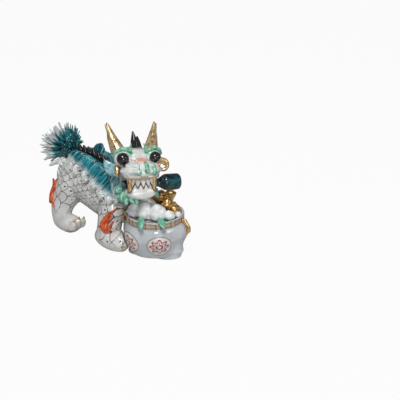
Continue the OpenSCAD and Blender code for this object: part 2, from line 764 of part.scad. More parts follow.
module scroll_roller() color("darkcyan") placed() head_place() scroll_bar();
module scroll_paper() color("teal") placed() head_place() scroll_roll();

torso();
neck();
left_hind_leg();
right_hind_leg();
left_front_leg();
right_front_leg();
left_hind_claws();
right_hind_claws();
left_front_claws();
right_front_claws();
left_hind_flame();
right_hind_flame();
left_front_flame();
right_front_flame();
left_mane();
right_mane();
neck_locks();
dorsal_spines();
tail_stem();
tail_plume();
skull();
muzzle();
lower_jaw();
upper_teeth();
lower_teeth();
left_fang();
right_fang();
left_eye();
right_eye();
left_brow();
right_brow();
left_horn();
right_horn();
crest_spike();
left_ear();
right_ear();
nose_ridge();
nose_curls();
left_whisker();
right_whisker();
beard();
pot();
left_pot_handle();
right_pot_handle();
treasure_bed();
peaches();
peach_leaves();
gold_ingots();
gold_coins();
pearls();
scroll_roller();
scroll_paper();
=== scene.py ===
"""Looks of a glazed porcelain guardian lion-dog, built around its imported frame.

The frame gives every clay piece its place. This script smooths those pieces into fired
porcelain, adds the combed hair, curls, teeth, scales and treasure, and glazes them.
Lengths in the dataclasses are metres in the frame's own axes, and angles are degrees. Only the
marks and curls on the head, the flames' tongues and the peaches are given in millimetres.
"""

from __future__ import annotations

import logging
import math
import random
from collections.abc import Iterator
from dataclasses import dataclass, field
from enum import Enum
import bmesh
import bpy
import numpy as np
from mathutils import Euler, Matrix, Vector
from mathutils.bvhtree import BVHTree


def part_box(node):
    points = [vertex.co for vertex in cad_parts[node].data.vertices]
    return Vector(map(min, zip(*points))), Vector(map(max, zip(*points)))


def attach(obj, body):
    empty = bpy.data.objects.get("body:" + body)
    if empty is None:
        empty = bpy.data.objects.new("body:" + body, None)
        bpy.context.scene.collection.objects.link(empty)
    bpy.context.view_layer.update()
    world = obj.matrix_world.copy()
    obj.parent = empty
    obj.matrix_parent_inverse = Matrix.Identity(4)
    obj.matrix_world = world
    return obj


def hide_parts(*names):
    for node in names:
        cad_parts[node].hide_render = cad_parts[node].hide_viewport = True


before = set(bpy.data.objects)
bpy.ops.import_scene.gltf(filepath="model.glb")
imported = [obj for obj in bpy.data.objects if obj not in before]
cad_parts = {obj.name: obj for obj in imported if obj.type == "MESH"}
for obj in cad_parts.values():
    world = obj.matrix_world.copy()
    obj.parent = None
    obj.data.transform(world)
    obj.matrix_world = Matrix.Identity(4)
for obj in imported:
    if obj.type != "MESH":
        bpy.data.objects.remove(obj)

logging.basicConfig(level=logging.INFO, format="%(name)s: %(message)s")
LOG = logging.getLogger("lion_dog")

Colour = tuple[float, float, float]
Places = tuple[tuple[float, float, float], ...]
Strand = list[tuple[Vector, float]]
Socket = bpy.types.NodeSocket

MM = 0.001
FADE = (1.0, 0.0)  # the results of a band that falls instead of rising
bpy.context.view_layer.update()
STATUE = "statue"
SCROLL = "scroll"
CORNERS = ("left_hind", "right_hind", "left_front", "right_front")


class Slot(str, Enum):
    """The pieces' material slots."""

    WHITE = "white_glaze"
    TEAL = "teal_glaze"
    PALE_TEAL = "pale_teal_glaze"
    ORANGE = "orange_enamel"
    BLACK = "black_glaze"
    TOOTH = "tooth_glaze"
    GREEN = "green_enamel"
    GOLD = "gold_lustre"
    POT = "pot_glaze"
    BED = "bed_glaze"
    PEARL = "pearl_glaze"
    SCROLL = "scroll_glaze"


# ---- shader graph ------------------------------------------------------------------------


class Graph:
    """A short way to write a material's nodes."""

    def __init__(self, name: str) -> None:
        """Starts an empty material with one Principled shader.

        Args:
            name: the material's name.
        """
        self.material = bpy.data.materials.new(name)
        self.material.use_nodes = True
        self.tree = self.material.node_tree
        self.shader = self.tree.nodes["Principled BSDF"]

    def node(self, kind: str, **inputs: object) -> bpy.types.Node:
        """Adds a node and sets or links its inputs.

        Args:
            kind: the node's type, without the ShaderNode prefix.
            inputs: socket names, with underscores for spaces, to values or sockets.

        Returns:
            The new node.
        """
        made = self.tree.nodes.new("ShaderNode" + kind)
        for name, value in inputs.items():
            self.put(made.inputs[name.replace("_", " ")], value)
        return made

    def put(self, socket: Socket, value: object) -> None:
        """Links a socket, or sets its value.

        Args:
            socket: the input.
            value: a value, or a socket to link.
        """
        if isinstance(value, Socket):
            self.tree.links.new(value, socket)
        else:
            socket.default_value = value

    def math(self, how: str, a: object, b: object = 0.0, c: object = 0.0) -> Socket:
        """A Math node's result.

        Args:
            how: the operation.
            a: first value or socket.
            b: second value or socket.
            c: third value or socket.

        Returns:
            The output socket.
        """
        made = self.tree.nodes.new("ShaderNodeMath")
        made.operation = how
        for socket, value in zip(made.inputs, (a, b, c)):
            self.put(socket, value)
        return made.outputs[0]

    def times(self, first: object, *others: object) -> Socket:
        """The product of values or sockets.

        Args:
            first: a value or socket.
            others: what it is multiplied by.

        Returns:
            The product's socket.
        """
        for other in others:
            first = self.math("MULTIPLY", first, other)
        return first

    def away(self, value: object, middle: object) -> Socket:
        """How far a value is from a middle, either way."""
        return self.math("ABSOLUTE", self.math("SUBTRACT", value, middle))

    def amount(self, name: str) -> Socket:
        """How strongly a mask is painted on the mesh."""
        return self.mark(name).outputs["Fac"]

    def band(self, value: object, low: float, high: float, to: tuple = (0.0, 1.0)) -> Socket:
        """A smooth step of a value from low to high.

        Args:
            value: the value or socket.
            low: where the step starts.
            high: where it ends.
            to: the results before and after.

        Returns:
            The output socket.
        """
        made = self.tree.nodes.new("ShaderNodeMapRange")
        made.interpolation_type = "SMOOTHSTEP"
        self.put(made.inputs["Value"], value)
        for name, limit in zip(("From Min", "From Max", "To Min", "To Max"), (low, high, *to)):
            made.inputs[name].default_value = limit
        return made.outputs["Result"]

    def mix(self, share: object, first: object, second: object) -> Socket:
        """A colour between two colours.

        Args:
            share: how much of the second, a value or socket.
            first: colour or socket.
            second: colour or socket.

        Returns:
            The output socket.
        """
        made = self.tree.nodes.new("ShaderNodeMix")
        made.data_type = "RGBA"
        self.put(made.inputs[0], share)
        for socket, value in ((made.inputs[6], first), (made.inputs[7], second)):
            self.put(socket, value if isinstance(value, Socket) else (*value, 1.0))
        return made.outputs[2]

    def shade_creases(self, colour: Socket, depth: float) -> Socket:
        """A colour with painted shade that darkens it in the clay's creases.

        Args:
            colour: the open colour's socket.
            depth: how much of the light a full crease takes, 0 to 1.

        Returns:
            The colour's socket.
        """
        return self.mix(self.times(self.amount("hollow"), depth), colour, (0.015, 0.012, 0.01))

    def place(self) -> Socket:
        """Object coordinates."""
        return self.node("TexCoord").outputs["Object"]

    def split(self, vector: Socket) -> list[Socket]:
        """The X, Y and Z of a vector."""
        return list(self.node("SeparateXYZ", Vector=vector).outputs)

    def mark(self, name: str) -> bpy.types.Node:
        """An attribute painted on the mesh.

        Args:
            name: the attribute's name.

        Returns:
            The Attribute node, whose Fac and Vector are read.
        """
        made = self.tree.nodes.new("ShaderNodeAttribute")
        made.attribute_name = name
        return made

    def noise(self, scale: float, detail: float = 3.0) -> Socket:
        """Noise on object coordinates.

        Args:
            scale: features a metre.
            detail: octaves.

        Returns:
            The noise value's socket.
        """
        return self.node("TexNoise", Vector=self.place(), Scale=scale, Detail=detail).outputs[0]

    def streaks(self, scale: float) -> Socket:
        """Noise drawn out along the hair, on the mesh's comb attribute.

        Args:
            scale: features a strand.

        Returns:
            The noise value's socket.
        """
        comb = self.mark("comb").outputs["Vector"]
        return self.node("TexNoise", Vector=comb, Scale=scale, Detail=2.0).outputs[0]

    def bump(self, height: Socket, depth: float) -> None:
        """Raises the surface by a height field.

        Args:
            height: the height's socket, 0 to 1.
            depth: metres from 0 to 1.
        """
        made = self.node("Bump", Height=height, Strength=1.0, Distance=depth)
        self.put(self.shader.inputs["Normal"], made.outputs[0])

    def finish(
        self, colour: object, roughness: object, metallic: float = 0.0, coat: float = 0.0
    ) -> bpy.types.Material:
        """Sets the shader's main sockets.

        Args:
            colour: base colour or socket.
            roughness: value or socket.
            metallic: 0 for clay, 1 for lustre.
            coat: weight of a clear coat.

        Returns:
            The material.
        """
        is_socket = isinstance(colour, Socket)
        self.put(self.shader.inputs["Base Color"], colour if is_socket else (*colour, 1.0))
        self.put(self.shader.inputs["Roughness"], roughness)
        self.shader.inputs["Metallic"].default_value = metallic
        self.shader.inputs["Coat Weight"].default_value = coat
        self.shader.inputs["Coat Roughness"].default_value = 0.05
        return self.material


@dataclass(frozen=True)
class Glaze:
    """A plain coloured glaze that pools darker and thinner by turns."""

    name: str
    light: Colour
    dark: Colour
    patch: float = 120.0
    roughness: float = 0.12
    ripple: float = 0.00012
    crease_shade: float = 0.5

    def material(self) -> bpy.types.Material:
        """Builds the glaze.

        Returns:
            The material.
        """
        g = Graph(self.name)
        pool = g.band(g.noise(self.patch), 0.35, 0.65)
        g.bump(g.noise(self.patch * 4), self.ripple)
        rough = g.band(g.noise(self.patch * 2), 0.3, 0.7, (self.roughness, self.roughness + 0.12))
        # Painted shade darkens the glaze in its creases.
        return g.finish(g.shade_creases(g.mix(pool, self.light, self.dark), self.crease_shade), rough, coat=0.3)


@dataclass(frozen=True)
class ScaledGlaze:
    """White glaze with raised scales, each edged by brush in black and worn gold."""

    name: str = "scaled white glaze"
    white: Colour = (0.84, 0.84, 0.82)
    shade: Colour = (0.66, 0.665, 0.65)
    ink: Colour = (0.035, 0.028, 0.022)
    gold: Colour = (0.32, 0.21, 0.09)
    # Painted shadow: the dark green-black of the throat under the jaw.
    throat_shadow: Colour = (0.03, 0.06, 0.05)
    mint: Colour = (0.26, 0.56, 0.42)
    gilt: Colour = (0.48, 0.31, 0.12)
    line: float = 0.105
    rim: float = 0.93
    relief: float = 0.0007

    def material(self) -> bpy.types.Material:
        """Builds the glaze from the mesh's wrap attribute, which holds across, along and a mask.

        Returns:
            The material.
        """
        g = Graph(self.name)
        across, along, mask = g.split(g.mark("wrap").outputs["Vector"])
        along = g.math("ADD", along, g.math("MULTIPLY_ADD", g.noise(60), 0.35, -0.17))
        # Every second row of scales is set off by half a scale.
        shifted = g.times(g.math("MODULO", g.math("FLOOR", along), 2.0), 0.5)
        beside = g.math("SUBTRACT", g.math("FRACT", g.math("ADD", across, shifted)), 0.5)
        below = g.math("FRACT", along)
        reach = g.math("ADD", g.math("POWER", g.times(beside, 2.0), 2.0), g.math("POWER", below, 2.0))
        dome = g.times(g.band(reach, 0.86, 1.0, FADE), g.math("MULTIPLY_ADD", reach, 0.55, 0.45))
        g.bump(g.times(dome, mask), self.relief)
        body = g.mix(g.band(g.noise(45), 0.35, 0.7), self.white, self.shade)
        body = g.mix(g.times(g.amount("mint"), 0.75), body, self.mint)
        body = self.brushed(g, body, reach, mask)
        body = g.mix(self.dabs(g, beside, below, mask), body, self.ink)
        body = g.mix(g.amount("gilt"), body, self.gilt)
        # Painted shadow darkens the throat under the jaw.
        body = g.mix(g.math("MINIMUM", g.times(g.amount("throat_shadow"), 2.0), 1.0), body, self.throat_shadow)
        # Painted shade darkens the glaze in its creases.
        return g.finish(g.shade_creases(body, 0.5), g.band(g.noise(220), 0.3, 0.7, (0.1, 0.22)), coat=0.35)

    def brushed(self, g: Graph, body: Socket, reach: Socket, mask: Socket) -> Socket:
        """The brush line at the rim of each scale.

        Args:
            g: the material.
            body: the colour under the line.
            reach: distance from the middle of a scale, 1 at its rim.
            mask: where there are scales.

        Returns:
            The colour's socket.
        """
        line = g.band(g.away(reach, self.rim), self.line * 0.4, self.line * 1.6, FADE)
        uneven = g.band(g.noise(160, 4), 0.28, 0.43)
        brush = g.mix(g.band(g.noise(30, 2), 0.5, 0.66), self.ink, self.gold)
        return g.mix(g.times(line, uneven, mask, 0.95), body, brush)

    @staticmethod
    def dabs(g: Graph, beside: Socket, below: Socket, mask: Socket) -> Socket:
        """Where a scale has a dab of ink in its middle.

        Args:
            g: the material.
            beside: place across the scale, 0 in its middle.
            below: place along the scale, 0 to 1.
            mask: where there are scales.

        Returns:
            The dab's socket, 0 to 1.
        """
        stroke = g.band(g.math("ABSOLUTE", beside), 0.05, 0.1, FADE)
        span = g.band(g.away(below, 0.5), 0.1, 0.22, FADE)
        return g.times(stroke, span, g.band(g.noise(75, 1), 0.5, 0.56), mask)


@dataclass(frozen=True)
class FaceGlaze:
    """White glaze of the head, with mint on the brows, gilt lips and a salmon bridge."""

    name: str = "painted face glaze"
    white: Colour = (0.85, 0.85, 0.83)
    shade: Colour = (0.70, 0.71, 0.69)
    mint: Colour = (0.22, 0.55, 0.40)
    gilt: Colour = (0.40, 0.26, 0.11)
    salmon: Colour = (0.80, 0.32, 0.20)
    ink: Colour = (0.015, 0.012, 0.012)

    def material(self) -> bpy.types.Material:
        """Builds the glaze from the masks painted on the head.

        Returns:
            The material.
        """
        g = Graph(self.name)
        body = g.mix(g.band(g.noise(70), 0.35, 0.7), self.white, self.shade)
        for mask, colour, strength in (
            ("mint", self.mint, 0.85),
            ("gilt", self.gilt, 0.9),
            ("salmon", self.salmon, 0.9),
            # On the jaw the ink mask also holds painted shade, round the fangs and inside the mouth.
            ("ink", self.ink, 1.0),
        ):
            broken = g.band(g.noise(180, 3), 0.25, 0.5, (0.55, 1.0))
            body = g.mix(g.times(g.amount(mask), strength, broken), body, colour)
        g.bump(g.noise(300, 4), 0.00012)
        # Painted shade darkens the glaze in its creases.
        return g.finish(g.shade_creases(body, 0.55), g.band(g.noise(200), 0.3, 0.7, (0.1, 0.2)), coat=0.35)


@dataclass(frozen=True)
class HairGlaze:
    """Combed hair that runs from deep teal at the root to white at the tip."""

    name: str
    root: Colour = (0.002, 0.050, 0.065)
    middle: Colour = (0.010, 0.26, 0.33)
    tip: Colour = (0.80, 0.82, 0.80)
    # Painted shade for the gaps between strands, and a painted sheen for highlights on others.
    gap_shade: Colour = (0.0, 0.025, 0.035)
    sheen: Colour = (0.16, 0.55, 0.60)
    turn: float = 0.55
    comb: float = 0.9

    def material(self) -> bpy.types.Material:
        """Builds the glaze from the mesh's comb and its tip attribute, 0 at the root and 1 at the end.

        Returns:
            The material.
        """
        g = Graph(self.name)
        along = g.math("ADD", g.amount("tip"), g.math("MULTIPLY_ADD", g.noise(110), 0.3, -0.15))
        deep = g.mix(g.band(along, 0.0, self.turn), self.root, self.middle)
        body = g.mix(g.band(along, self.turn, self.turn + 0.32), deep, self.tip)
        streak = g.streaks(self.comb)
        coloured = g.band(along, self.turn, self.turn + 0.4, (1.0, 0.3))
        # Painted shade darkens the gaps between strands and a painted sheen lights others, both fading
        # towards the tips.
        body = g.mix(g.times(g.band(streak, 0.5, 0.62, (0.0, 0.85)), coloured), body, self.gap_shade)
        body = g.mix(g.times(g.band(streak, 0.45, 0.34, (0.0, 0.6)), coloured), body, self.sheen)
        g.bump(streak, 0.0006)
        return g.finish(body, g.band(g.noise(200), 0.3, 0.7, (0.14, 0.28)), coat=0.3)


@dataclass(frozen=True)
class Lustre:
    """Gold lustre, rubbed thin and speckled brown in places."""

    name: str = "gold lustre"
    bright: Colour = (0.76, 0.53, 0.25)
    deep: Colour = (0.34, 0.18, 0.06)
    fleck: float = 260.0
    metallic: float = 0.7

    def material(self) -> bpy.types.Material:
        """Builds the lustre.

        Returns:
            The material.
        """
        g = Graph(self.name)
        worn = g.band(g.noise(self.fleck, 4), 0.48, 0.66)
        grain = g.noise(self.fleck * 3, 3)
        g.bump(grain, 0.00025)
        rough = g.band(g.noise(self.fleck * 0.6), 0.3, 0.7, (0.16, 0.34))
        # Painted shade darkens the lustre in its creases.
        body = g.shade_creases(g.mix(worn, self.bright, self.deep), 0.8)
        return g.finish(body, rough, metallic=self.metallic, coat=0.3)


@dataclass(frozen=True)
class PotGlaze:
    """Bluish-white pot with round red rosettes in gilt rings and a gilt fret band at its rim."""

    axis: tuple[float, float]
    name: str = "pot glaze"
    radius: float = 0.041
    rosette: float = 0.0155
    rosette_z: float = 0.0225
    band: tuple[float, float] = (0.0435, 0.0515)
    first: float = -130.0
    handle: float = -71.0
    count: int = 6
    petals: float = 8.0
    white: Colour = (0.62, 0.655, 0.68)
    shade: Colour = (0.48, 0.51, 0.54)
    panel: Colour = (0.80, 0.795, 0.77)
    red: Colour = (0.42, 0.035, 0.015)
    gilt: tuple[Colour, Colour] = ((0.36, 0.26, 0.14), (0.16, 0.11, 0.06))
    fret: tuple[Colour, Colour] = ((0.46, 0.38, 0.28), (0.22, 0.15, 0.09))

    def material(self) -> bpy.types.Material:
        """Builds the glaze from object coordinates round the pot's axis.

        Returns:
            The material.
        """
        g = Graph(self.name)
        x, y, z = g.split(g.place())
        turn = g.math("ARCTAN2", g.math("SUBTRACT", y, self.axis[1]), g.math("SUBTRACT", x, self.axis[0]))
        lobes = g.math("MULTIPLY_ADD", turn, self.count / math.tau, -self.first / 360 * self.count)
        disc, ring, red = self.rosettes(g, turn, lobes, z)
        body = g.mix(g.band(g.noise(38), 0.3, 0.7), self.white, self.shade)
        body = g.mix(g.times(disc, 0.8), body, self.panel)
        body = g.mix(red, body, self.red)
        body = g.mix(g.times(ring, 0.8), body, g.mix(g.band(g.noise(200), 0.35, 0.65), *self.gilt))
        body = self.rim(g, body, lobes, z)
        g.bump(g.math("ADD", g.times(ring, 0.8), red), 0.0003)
        return g.finish(body, g.band(g.noise(160), 0.3, 0.7, (0.08, 0.18)), coat=0.4)

    def rosettes(self, g: Graph, turn: Socket, lobes: Socket, z: Socket) -> tuple[Socket, Socket, Socket]:
        """A round panel on each lobe with a ring and an eight-petalled rosette.

        Args:
            g: the material.
            turn: the angle round the pot.
            lobes: the same angle, counted in lobes.
            z: the height.

        Returns:
            Where the panels, their rings and the red brush strokes are.
        """
        cell = g.math("SUBTRACT", g.math("FRACT", g.math("ADD", lobes, 0.5)), 0.5)
        across = g.times(cell, math.tau * self.radius / self.count / self.rosette)
        up = g.math("DIVIDE", g.math("SUBTRACT", z, self.rosette_z), self.rosette * 0.84)
        out = g.math("SQRT", g.math("ADD", g.math("POWER", across, 2.0), g.math("POWER", up, 2.0)))
        wave = g.math("COSINE", g.times(g.math("ARCTAN2", up, across), self.petals))
        facing = g.math("COSINE", g.math("SUBTRACT", turn, math.radians(self.handle)))
        bare = g.band(g.math("ABSOLUTE", facing), 0.78, 0.84, FADE)
        disc = g.times(g.band(out, 0.96, 1.02, FADE), bare)
        ring = g.times(g.band(g.away(out, 1.0), 0.02, 0.07, FADE), bare)
        flower = g.band(g.away(out, g.math("MULTIPLY_ADD", wave, 0.13, 0.6)), 0.05, 0.13, FADE)
        heart = g.band(g.away(out, 0.22), 0.04, 0.1, FADE)
        spoke = g.times(g.band(wave, 0.75, 0.95), g.band(g.away(out, 0.4), 0.1, 0.16, FADE))
        strokes = g.math("MAXIMUM", g.math("MAXIMUM", flower, heart), spoke)
        return disc, ring, g.times(strokes, disc, g.band(g.noise(260, 3), 0.3, 0.5, (0.45, 1.0)))

    def rim(self, g: Graph, body: Socket, lobes: Socket, z: Socket) -> Socket:
        """The band under the rim, with a fret of oblong frames.

        Args:
            g: the material.
            body: the colour around the band.
            lobes: the angle round the pot, counted in lobes.
            z: the height.

        Returns:
            The colour's socket.
        """
        low, high = self.band
        edge = 0.6 * MM
        inside = g.times(g.band(z, low - edge, low), g.band(z, high, high + edge, FADE))
        side = g.away(g.math("FRACT", g.times(lobes, 2.0)), 0.5)
        upright = g.band(g.away(side, 0.34), 0.03, 0.06, FADE)
        level = g.band(g.away(g.away(z, (low + high) / 2), 2.2 * MM), 0.3 * MM, 0.7 * MM, FADE)
        fret = g.math("MAXIMUM", upright, g.times(level, g.band(side, 0.33, 0.36, FADE)))
        worn = g.band(g.noise(120), 0.2, 0.45, (0.6, 1.0))
        return g.mix(g.times(inside, worn), body, g.mix(fret, *self.fret))


# ---- mesh tools --------------------------------------------------------------------------


class Mould:
    """A piece in the making: a mesh whose points numpy can move and paint."""

    def __init__(self, name: str, mesh: bpy.types.Mesh) -> None:
        """Wraps a mesh.

        Args:
            name: the piece's name.
            mesh: its mesh, in the frame's axes.
        """
        self.name = name
        self.mesh = mesh
        mesh.name = name

    @staticmethod
    def _settled(source: bpy.types.Object) -> bpy.types.Mesh:
        """Applies the modifiers of an object.

        Args:
            source: the object, which is dropped.

        Returns:
            Its mesh.
        """
        bpy.context.view_layer.update()
        solid = source.evaluated_get(bpy.context.evaluated_depsgraph_get())
        mesh = bpy.data.meshes.new_from_object(solid)
        data = source.data
        bpy.data.objects.remove(source)
        if isinstance(data, bpy.types.Mesh):
            bpy.data.meshes.remove(data)
        return mesh

    @classmethod
    def from_nodes(
        cls,
        name: str,
        nodes: list[str],
        voxel: float,
        smooth: int,
        grow: float = 0.0002,
        hollow: tuple[str, ...] = (),
    ) -> Mould:
        """Joins copies of CAD nodes into one smooth skin.

        Args:
            name: the piece's name.
            nodes: the CAD nodes to join.
            voxel: size of the remesh's cells.
            smooth: rounds of smoothing.
            grow: how far each copy is swollen first, so that seams close.
            hollow: those of the nodes that have an inner wall, which is dropped.

        Returns:
            The mould.
        """
        bm = bmesh.new()
        for node in nodes:
            part = bmesh.new()
            part.from_mesh(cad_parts[node].data)
            bmesh.ops.remove_doubles(part, verts=part.verts, dist=1e-6)
            if node in hollow:
                cls._drop_inner_wall(part)
            part.normal_update()
            for vert in part.verts:
                vert.co += vert.normal * grow
            mesh = bpy.data.meshes.new("part")
            part.to_mesh(mesh)
            part.free()
            bm.from_mesh(mesh)
            bpy.data.meshes.remove(mesh)
        joined = bpy.data.meshes.new(name)
        bm.to_mesh(joined)
        bm.free()
        return cls.smoothed(name, joined, voxel, smooth)

    @staticmethod
    def _drop_inner_wall(part: bmesh.types.BMesh) -> None:
        """Deletes the faces of a shell that look inwards, and closes what that opens.

        Args:
            part: the shell's mesh.
        """
        tree = BVHTree.FromBMesh(part)
        inner = []
        for face in part.faces:
            start = face.calc_center_median() + face.normal * 1e-4
            if tree.ray_cast(start, face.normal)[0] is not None:
                inner.append(face)
        bmesh.ops.delete(part, geom=inner, context="FACES")
        bmesh.ops.holes_fill(part, edges=part.edges, sides=0)
        bmesh.ops.triangulate(part, faces=part.faces)

    @classmethod
    def smoothed(cls, name: str, mesh: bpy.types.Mesh, voxel: float, smooth: int) -> Mould:
        """Voxel-remeshes and smooths a mesh.

        Args:
            name: the piece's name.
            mesh: what to remesh; it is used up.
            voxel: size of the cells.
            smooth: rounds of smoothing.

        Returns:
            The mould.
        """
        rough = bpy.data.objects.new(name, mesh)
        bpy.context.scene.collection.objects.link(rough)
        remesh = rough.modifiers.new("skin", "REMESH")
        remesh.mode = "VOXEL"
        remesh.voxel_size = voxel
        if smooth:
            soften = rough.modifiers.new("soften", "SMOOTH")
            soften.factor = 0.5
            soften.iterations = smooth
        return cls(name, cls._settled(rough))

    @classmethod
    def from_strands(cls, name: str, strands: list[Strand], sides: int = 4) -> Mould:
        """Makes tapered round strands.

        Args:
            name: the piece's name.
            strands: for each strand, its points and radii.
            sides: bevel resolution, a quarter of the strand's sides.

        Returns:
            The mould.
        """
        curve = bpy.data.curves.new(name, "CURVE")
        curve.dimensions = "3D"
        curve.bevel_depth = 1.0
        curve.bevel_resolution = sides - 2
        curve.resolution_u = 4
        curve.use_fill_caps = True
        for points in strands:
            spline = curve.splines.new("NURBS")
            spline.points.add(len(points) - 1)
            for knot, (place, radius) in zip(spline.points, points):
                knot.co = (*place, 1.0)
                knot.radius = radius
            spline.order_u = 3
            spline.use_endpoint_u = True
        line = bpy.data.objects.new(name, curve)
        bpy.context.scene.collection.objects.link(line)
        return cls(name, cls._settled(line))

    def points(self) -> np.ndarray:
        """The vertices' places, one row each.

        Returns:
            Metres, in columns X, Y and Z.
        """
        co = np.empty(len(self.mesh.vertices) * 3)
        self.mesh.vertices.foreach_get("co", co)
        return co.reshape(-1, 3)

    def normals(self) -> np.ndarray:
        """The vertices' normals, one row each.

        Returns:
            Unit vectors, in columns X, Y and Z.
        """
        out = np.empty(len(self.mesh.vertices) * 3)
        self.mesh.vertices.foreach_get("normal", out)
        return out.reshape(-1, 3)

    def push(self, height: np.ndarray) -> None:
        """Moves each vertex out along its normal by its own height.

        Args:
            height: metres, one for each vertex.
        """
        moved = self.points() + self.normals() * height[:, None]
        self.mesh.vertices.foreach_set("co", moved.ravel())
        self.mesh.update()

    def shift(self, by: np.ndarray) -> None:
        """Moves each vertex by its own vector.

        Args:
            by: metres, one row for each vertex.
        """
        self.mesh.vertices.foreach_set("co", (self.points() + by).ravel())
        self.mesh.update()

    def hollows(self, rounds: int = 3) -> np.ndarray:
        """How deep each vertex lies in a crease: 0 on flat and raised clay, 1 in a sharp valley.

        Args:
            rounds: how many times the measure is spread to neighbours.

        Returns:
            One value for each vertex.
        """
        count = len(self.mesh.vertices)
        edges = np.empty(len(self.mesh.edges) * 2, np.int64)
        self.mesh.edges.foreach_get("vertices", edges)
        a, b = edges.reshape(-1, 2).T
        share = np.maximum(np.bincount(a, minlength=count) + np.bincount(b, minlength=count), 1)

        def around(values: np.ndarray) -> np.ndarray:
            """The mean of each vertex's neighbours."""
            total = np.bincount(a, values[b], count) + np.bincount(b, values[a], count)
            return total / share

        co, normals = self.points(), self.normals()
        sunk = sum((around(co[:, k]) - co[:, k]) * normals[:, k] for k in range(3))
        reach = np.abs(co[a] - co[b]).max(axis=1).mean()
        depth = sunk / reach
        for _ in range(rounds):
            depth = (depth + around(depth)) / 2
        return np.clip(depth * 9, 0, 1)

    def paint(self, name: str, values: np.ndarray) -> None:
        """Stores a mask or, with three columns, a vector for the materials to read.

        Args:
            name: the attribute's name.
            values: one value or row for each vertex.
        """
        kind, key = ("FLOAT_VECTOR", "vector") if values.ndim == 2 else ("FLOAT", "value")
        layer = self.mesh.attributes.new(name, kind, "POINT")
        layer.data.foreach_set(key, np.ascontiguousarray(values, np.float32).ravel())

    def fire(
        self, material: bpy.types.Material, slot: Slot, body: str, nodes: list[str]
    ) -> bpy.types.Object:
        """Turns the mould into a finished piece of the statue.

        Args:
            material: its glaze.
            slot: its material slot, which is only logged.
            body: the body it rides on.
            nodes: the CAD nodes it stands for, which may be none.

        Returns:
            The piece.
        """
        # The crease depth, which the glazes read to paint shade into the creases.
        self.paint("hollow", self.hollows())
        self.mesh.materials.clear()
        self.mesh.materials.append(material)
        self.mesh.shade_smooth()
        piece = bpy.data.objects.new(self.name, self.mesh)
        bpy.context.scene.collection.objects.link(piece)
        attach(piece, body)
        if nodes:
            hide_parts(*nodes)
        LOG.info("%s: %d faces, %s", self.name, len(self.mesh.polygons), slot.value)
        return piece


def near(points: np.ndarray, centre: Vector | tuple, radius: float) -> np.ndarray:
    """A soft spot round a place: 1 at its middle, 0 from the radius outwards.

    Args:
        points: places, one row each.
        centre: the spot's middle.
        radius: its reach.

    Returns:
        One value for each place.
    """
    away = np.linalg.norm(points - np.array(centre), axis=1) / radius
    return np.clip(1 - away * away, 0, 1) ** 2


def near_path(points: np.ndarray, path: Places, radius: float) -> np.ndarray:
    """A soft band along a line of places.

    Args:
        points: places, one row each.
        path: the line's corners.
        radius: half the band's width.

    Returns:
        One value for each place.
    """
    best = np.full(len(points), 1e9)
    for a, b in zip(path, path[1:]):
        a, b = np.array(a), np.array(b)
        along = np.clip((points - a) @ (b - a) / ((b - a) @ (b - a)), 0, 1)
        best = np.minimum(best, np.linalg.norm(points - a - along[:, None] * (b - a), axis=1))
    return np.clip(1 - (best / radius) ** 2, 0, 1) ** 2


def ripples(points: np.ndarray, size: float) -> np.ndarray:
    """Soft lumps all over, from -1 to 1.

    Args:
        points: places, one row each.
        size: a lump's width.

    Returns:
        One value for each place.
    """
    k = math.tau / size / 2
    x, y, z = points.T * k
    lumps = np.sin(x + 1.3 * np.sin(y * 0.9)) * np.sin(y + 0.7 * np.sin(z * 1.1))
    return lumps * np.sin(z + 0.4 + np.sin(x * 0.8))


def ramp(values: np.ndarray, start: float | np.ndarray, end: float | np.ndarray) -> np.ndarray:
    """A straight rise from 0 at the start to 1 at the end, level beyond both."""
    return np.clip((values - start) / (end - start), 0, 1)


def spiral(
    knots: int, start: float, turns: float, outer: float, inner: float
) -> Iterator[tuple[float, float, float]]:
    """Points of a flat spiral that winds inwards.

    Args:
        knots: how many points.
        start: the first point's angle, in degrees.
        turns: turns to the last point, below 0 for the other way round.
        outer: the first point's distance from the middle.
        inner: the last point's distance from the middle.

    Yields:
        How far along the spiral the point is, from 0 to 1, and its two coordinates.
    """
    for k in range(knots):
        t = k / (knots - 1)
        angle, radius = math.radians(start) + t * math.tau * turns, outer + (inner - outer) * t
        yield t, radius * math.cos(angle), radius * math.sin(angle)


@dataclass
class HeadFrame:
    """The head's own axes: zero between the eyes, face towards -Y, up +Z."""

    turn: tuple[float, float, float] = (-12.0, 4.0, -29.0)
    eye_depth: float = -0.0045

    def matrix(self) -> Matrix:
        """Head axes to the frame's, worked out from the two eyes' places.

        Returns:
            The matrix.
        """
        middles = [sum(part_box(n), Vector()) / 2 for n in ("left_eye", "right_eye")]
        spin = Euler([math.radians(a) for a in self.turn], "XYZ").to_matrix().to_4x4()
        middle = (middles[0] + middles[1]) / 2
        return Matrix.Translation(middle) @ spin @ Matrix.Translation((0, -self.eye_depth, 0))

    def local(self, points: np.ndarray) -> np.ndarray:
        """Places in head axes, in millimetres."""
        back = np.array(self.matrix().inverted())
        return (points @ back[:3, :3].T + back[:3, 3]) / MM

    def world(self, x: float, y: float, z: float) -> Vector:
        """A place in the frame from head millimetres."""
        return self.matrix() @ Vector((x * MM, y * MM, z * MM))


# ---- trunk, legs and neck ----------------------------------------------------------------


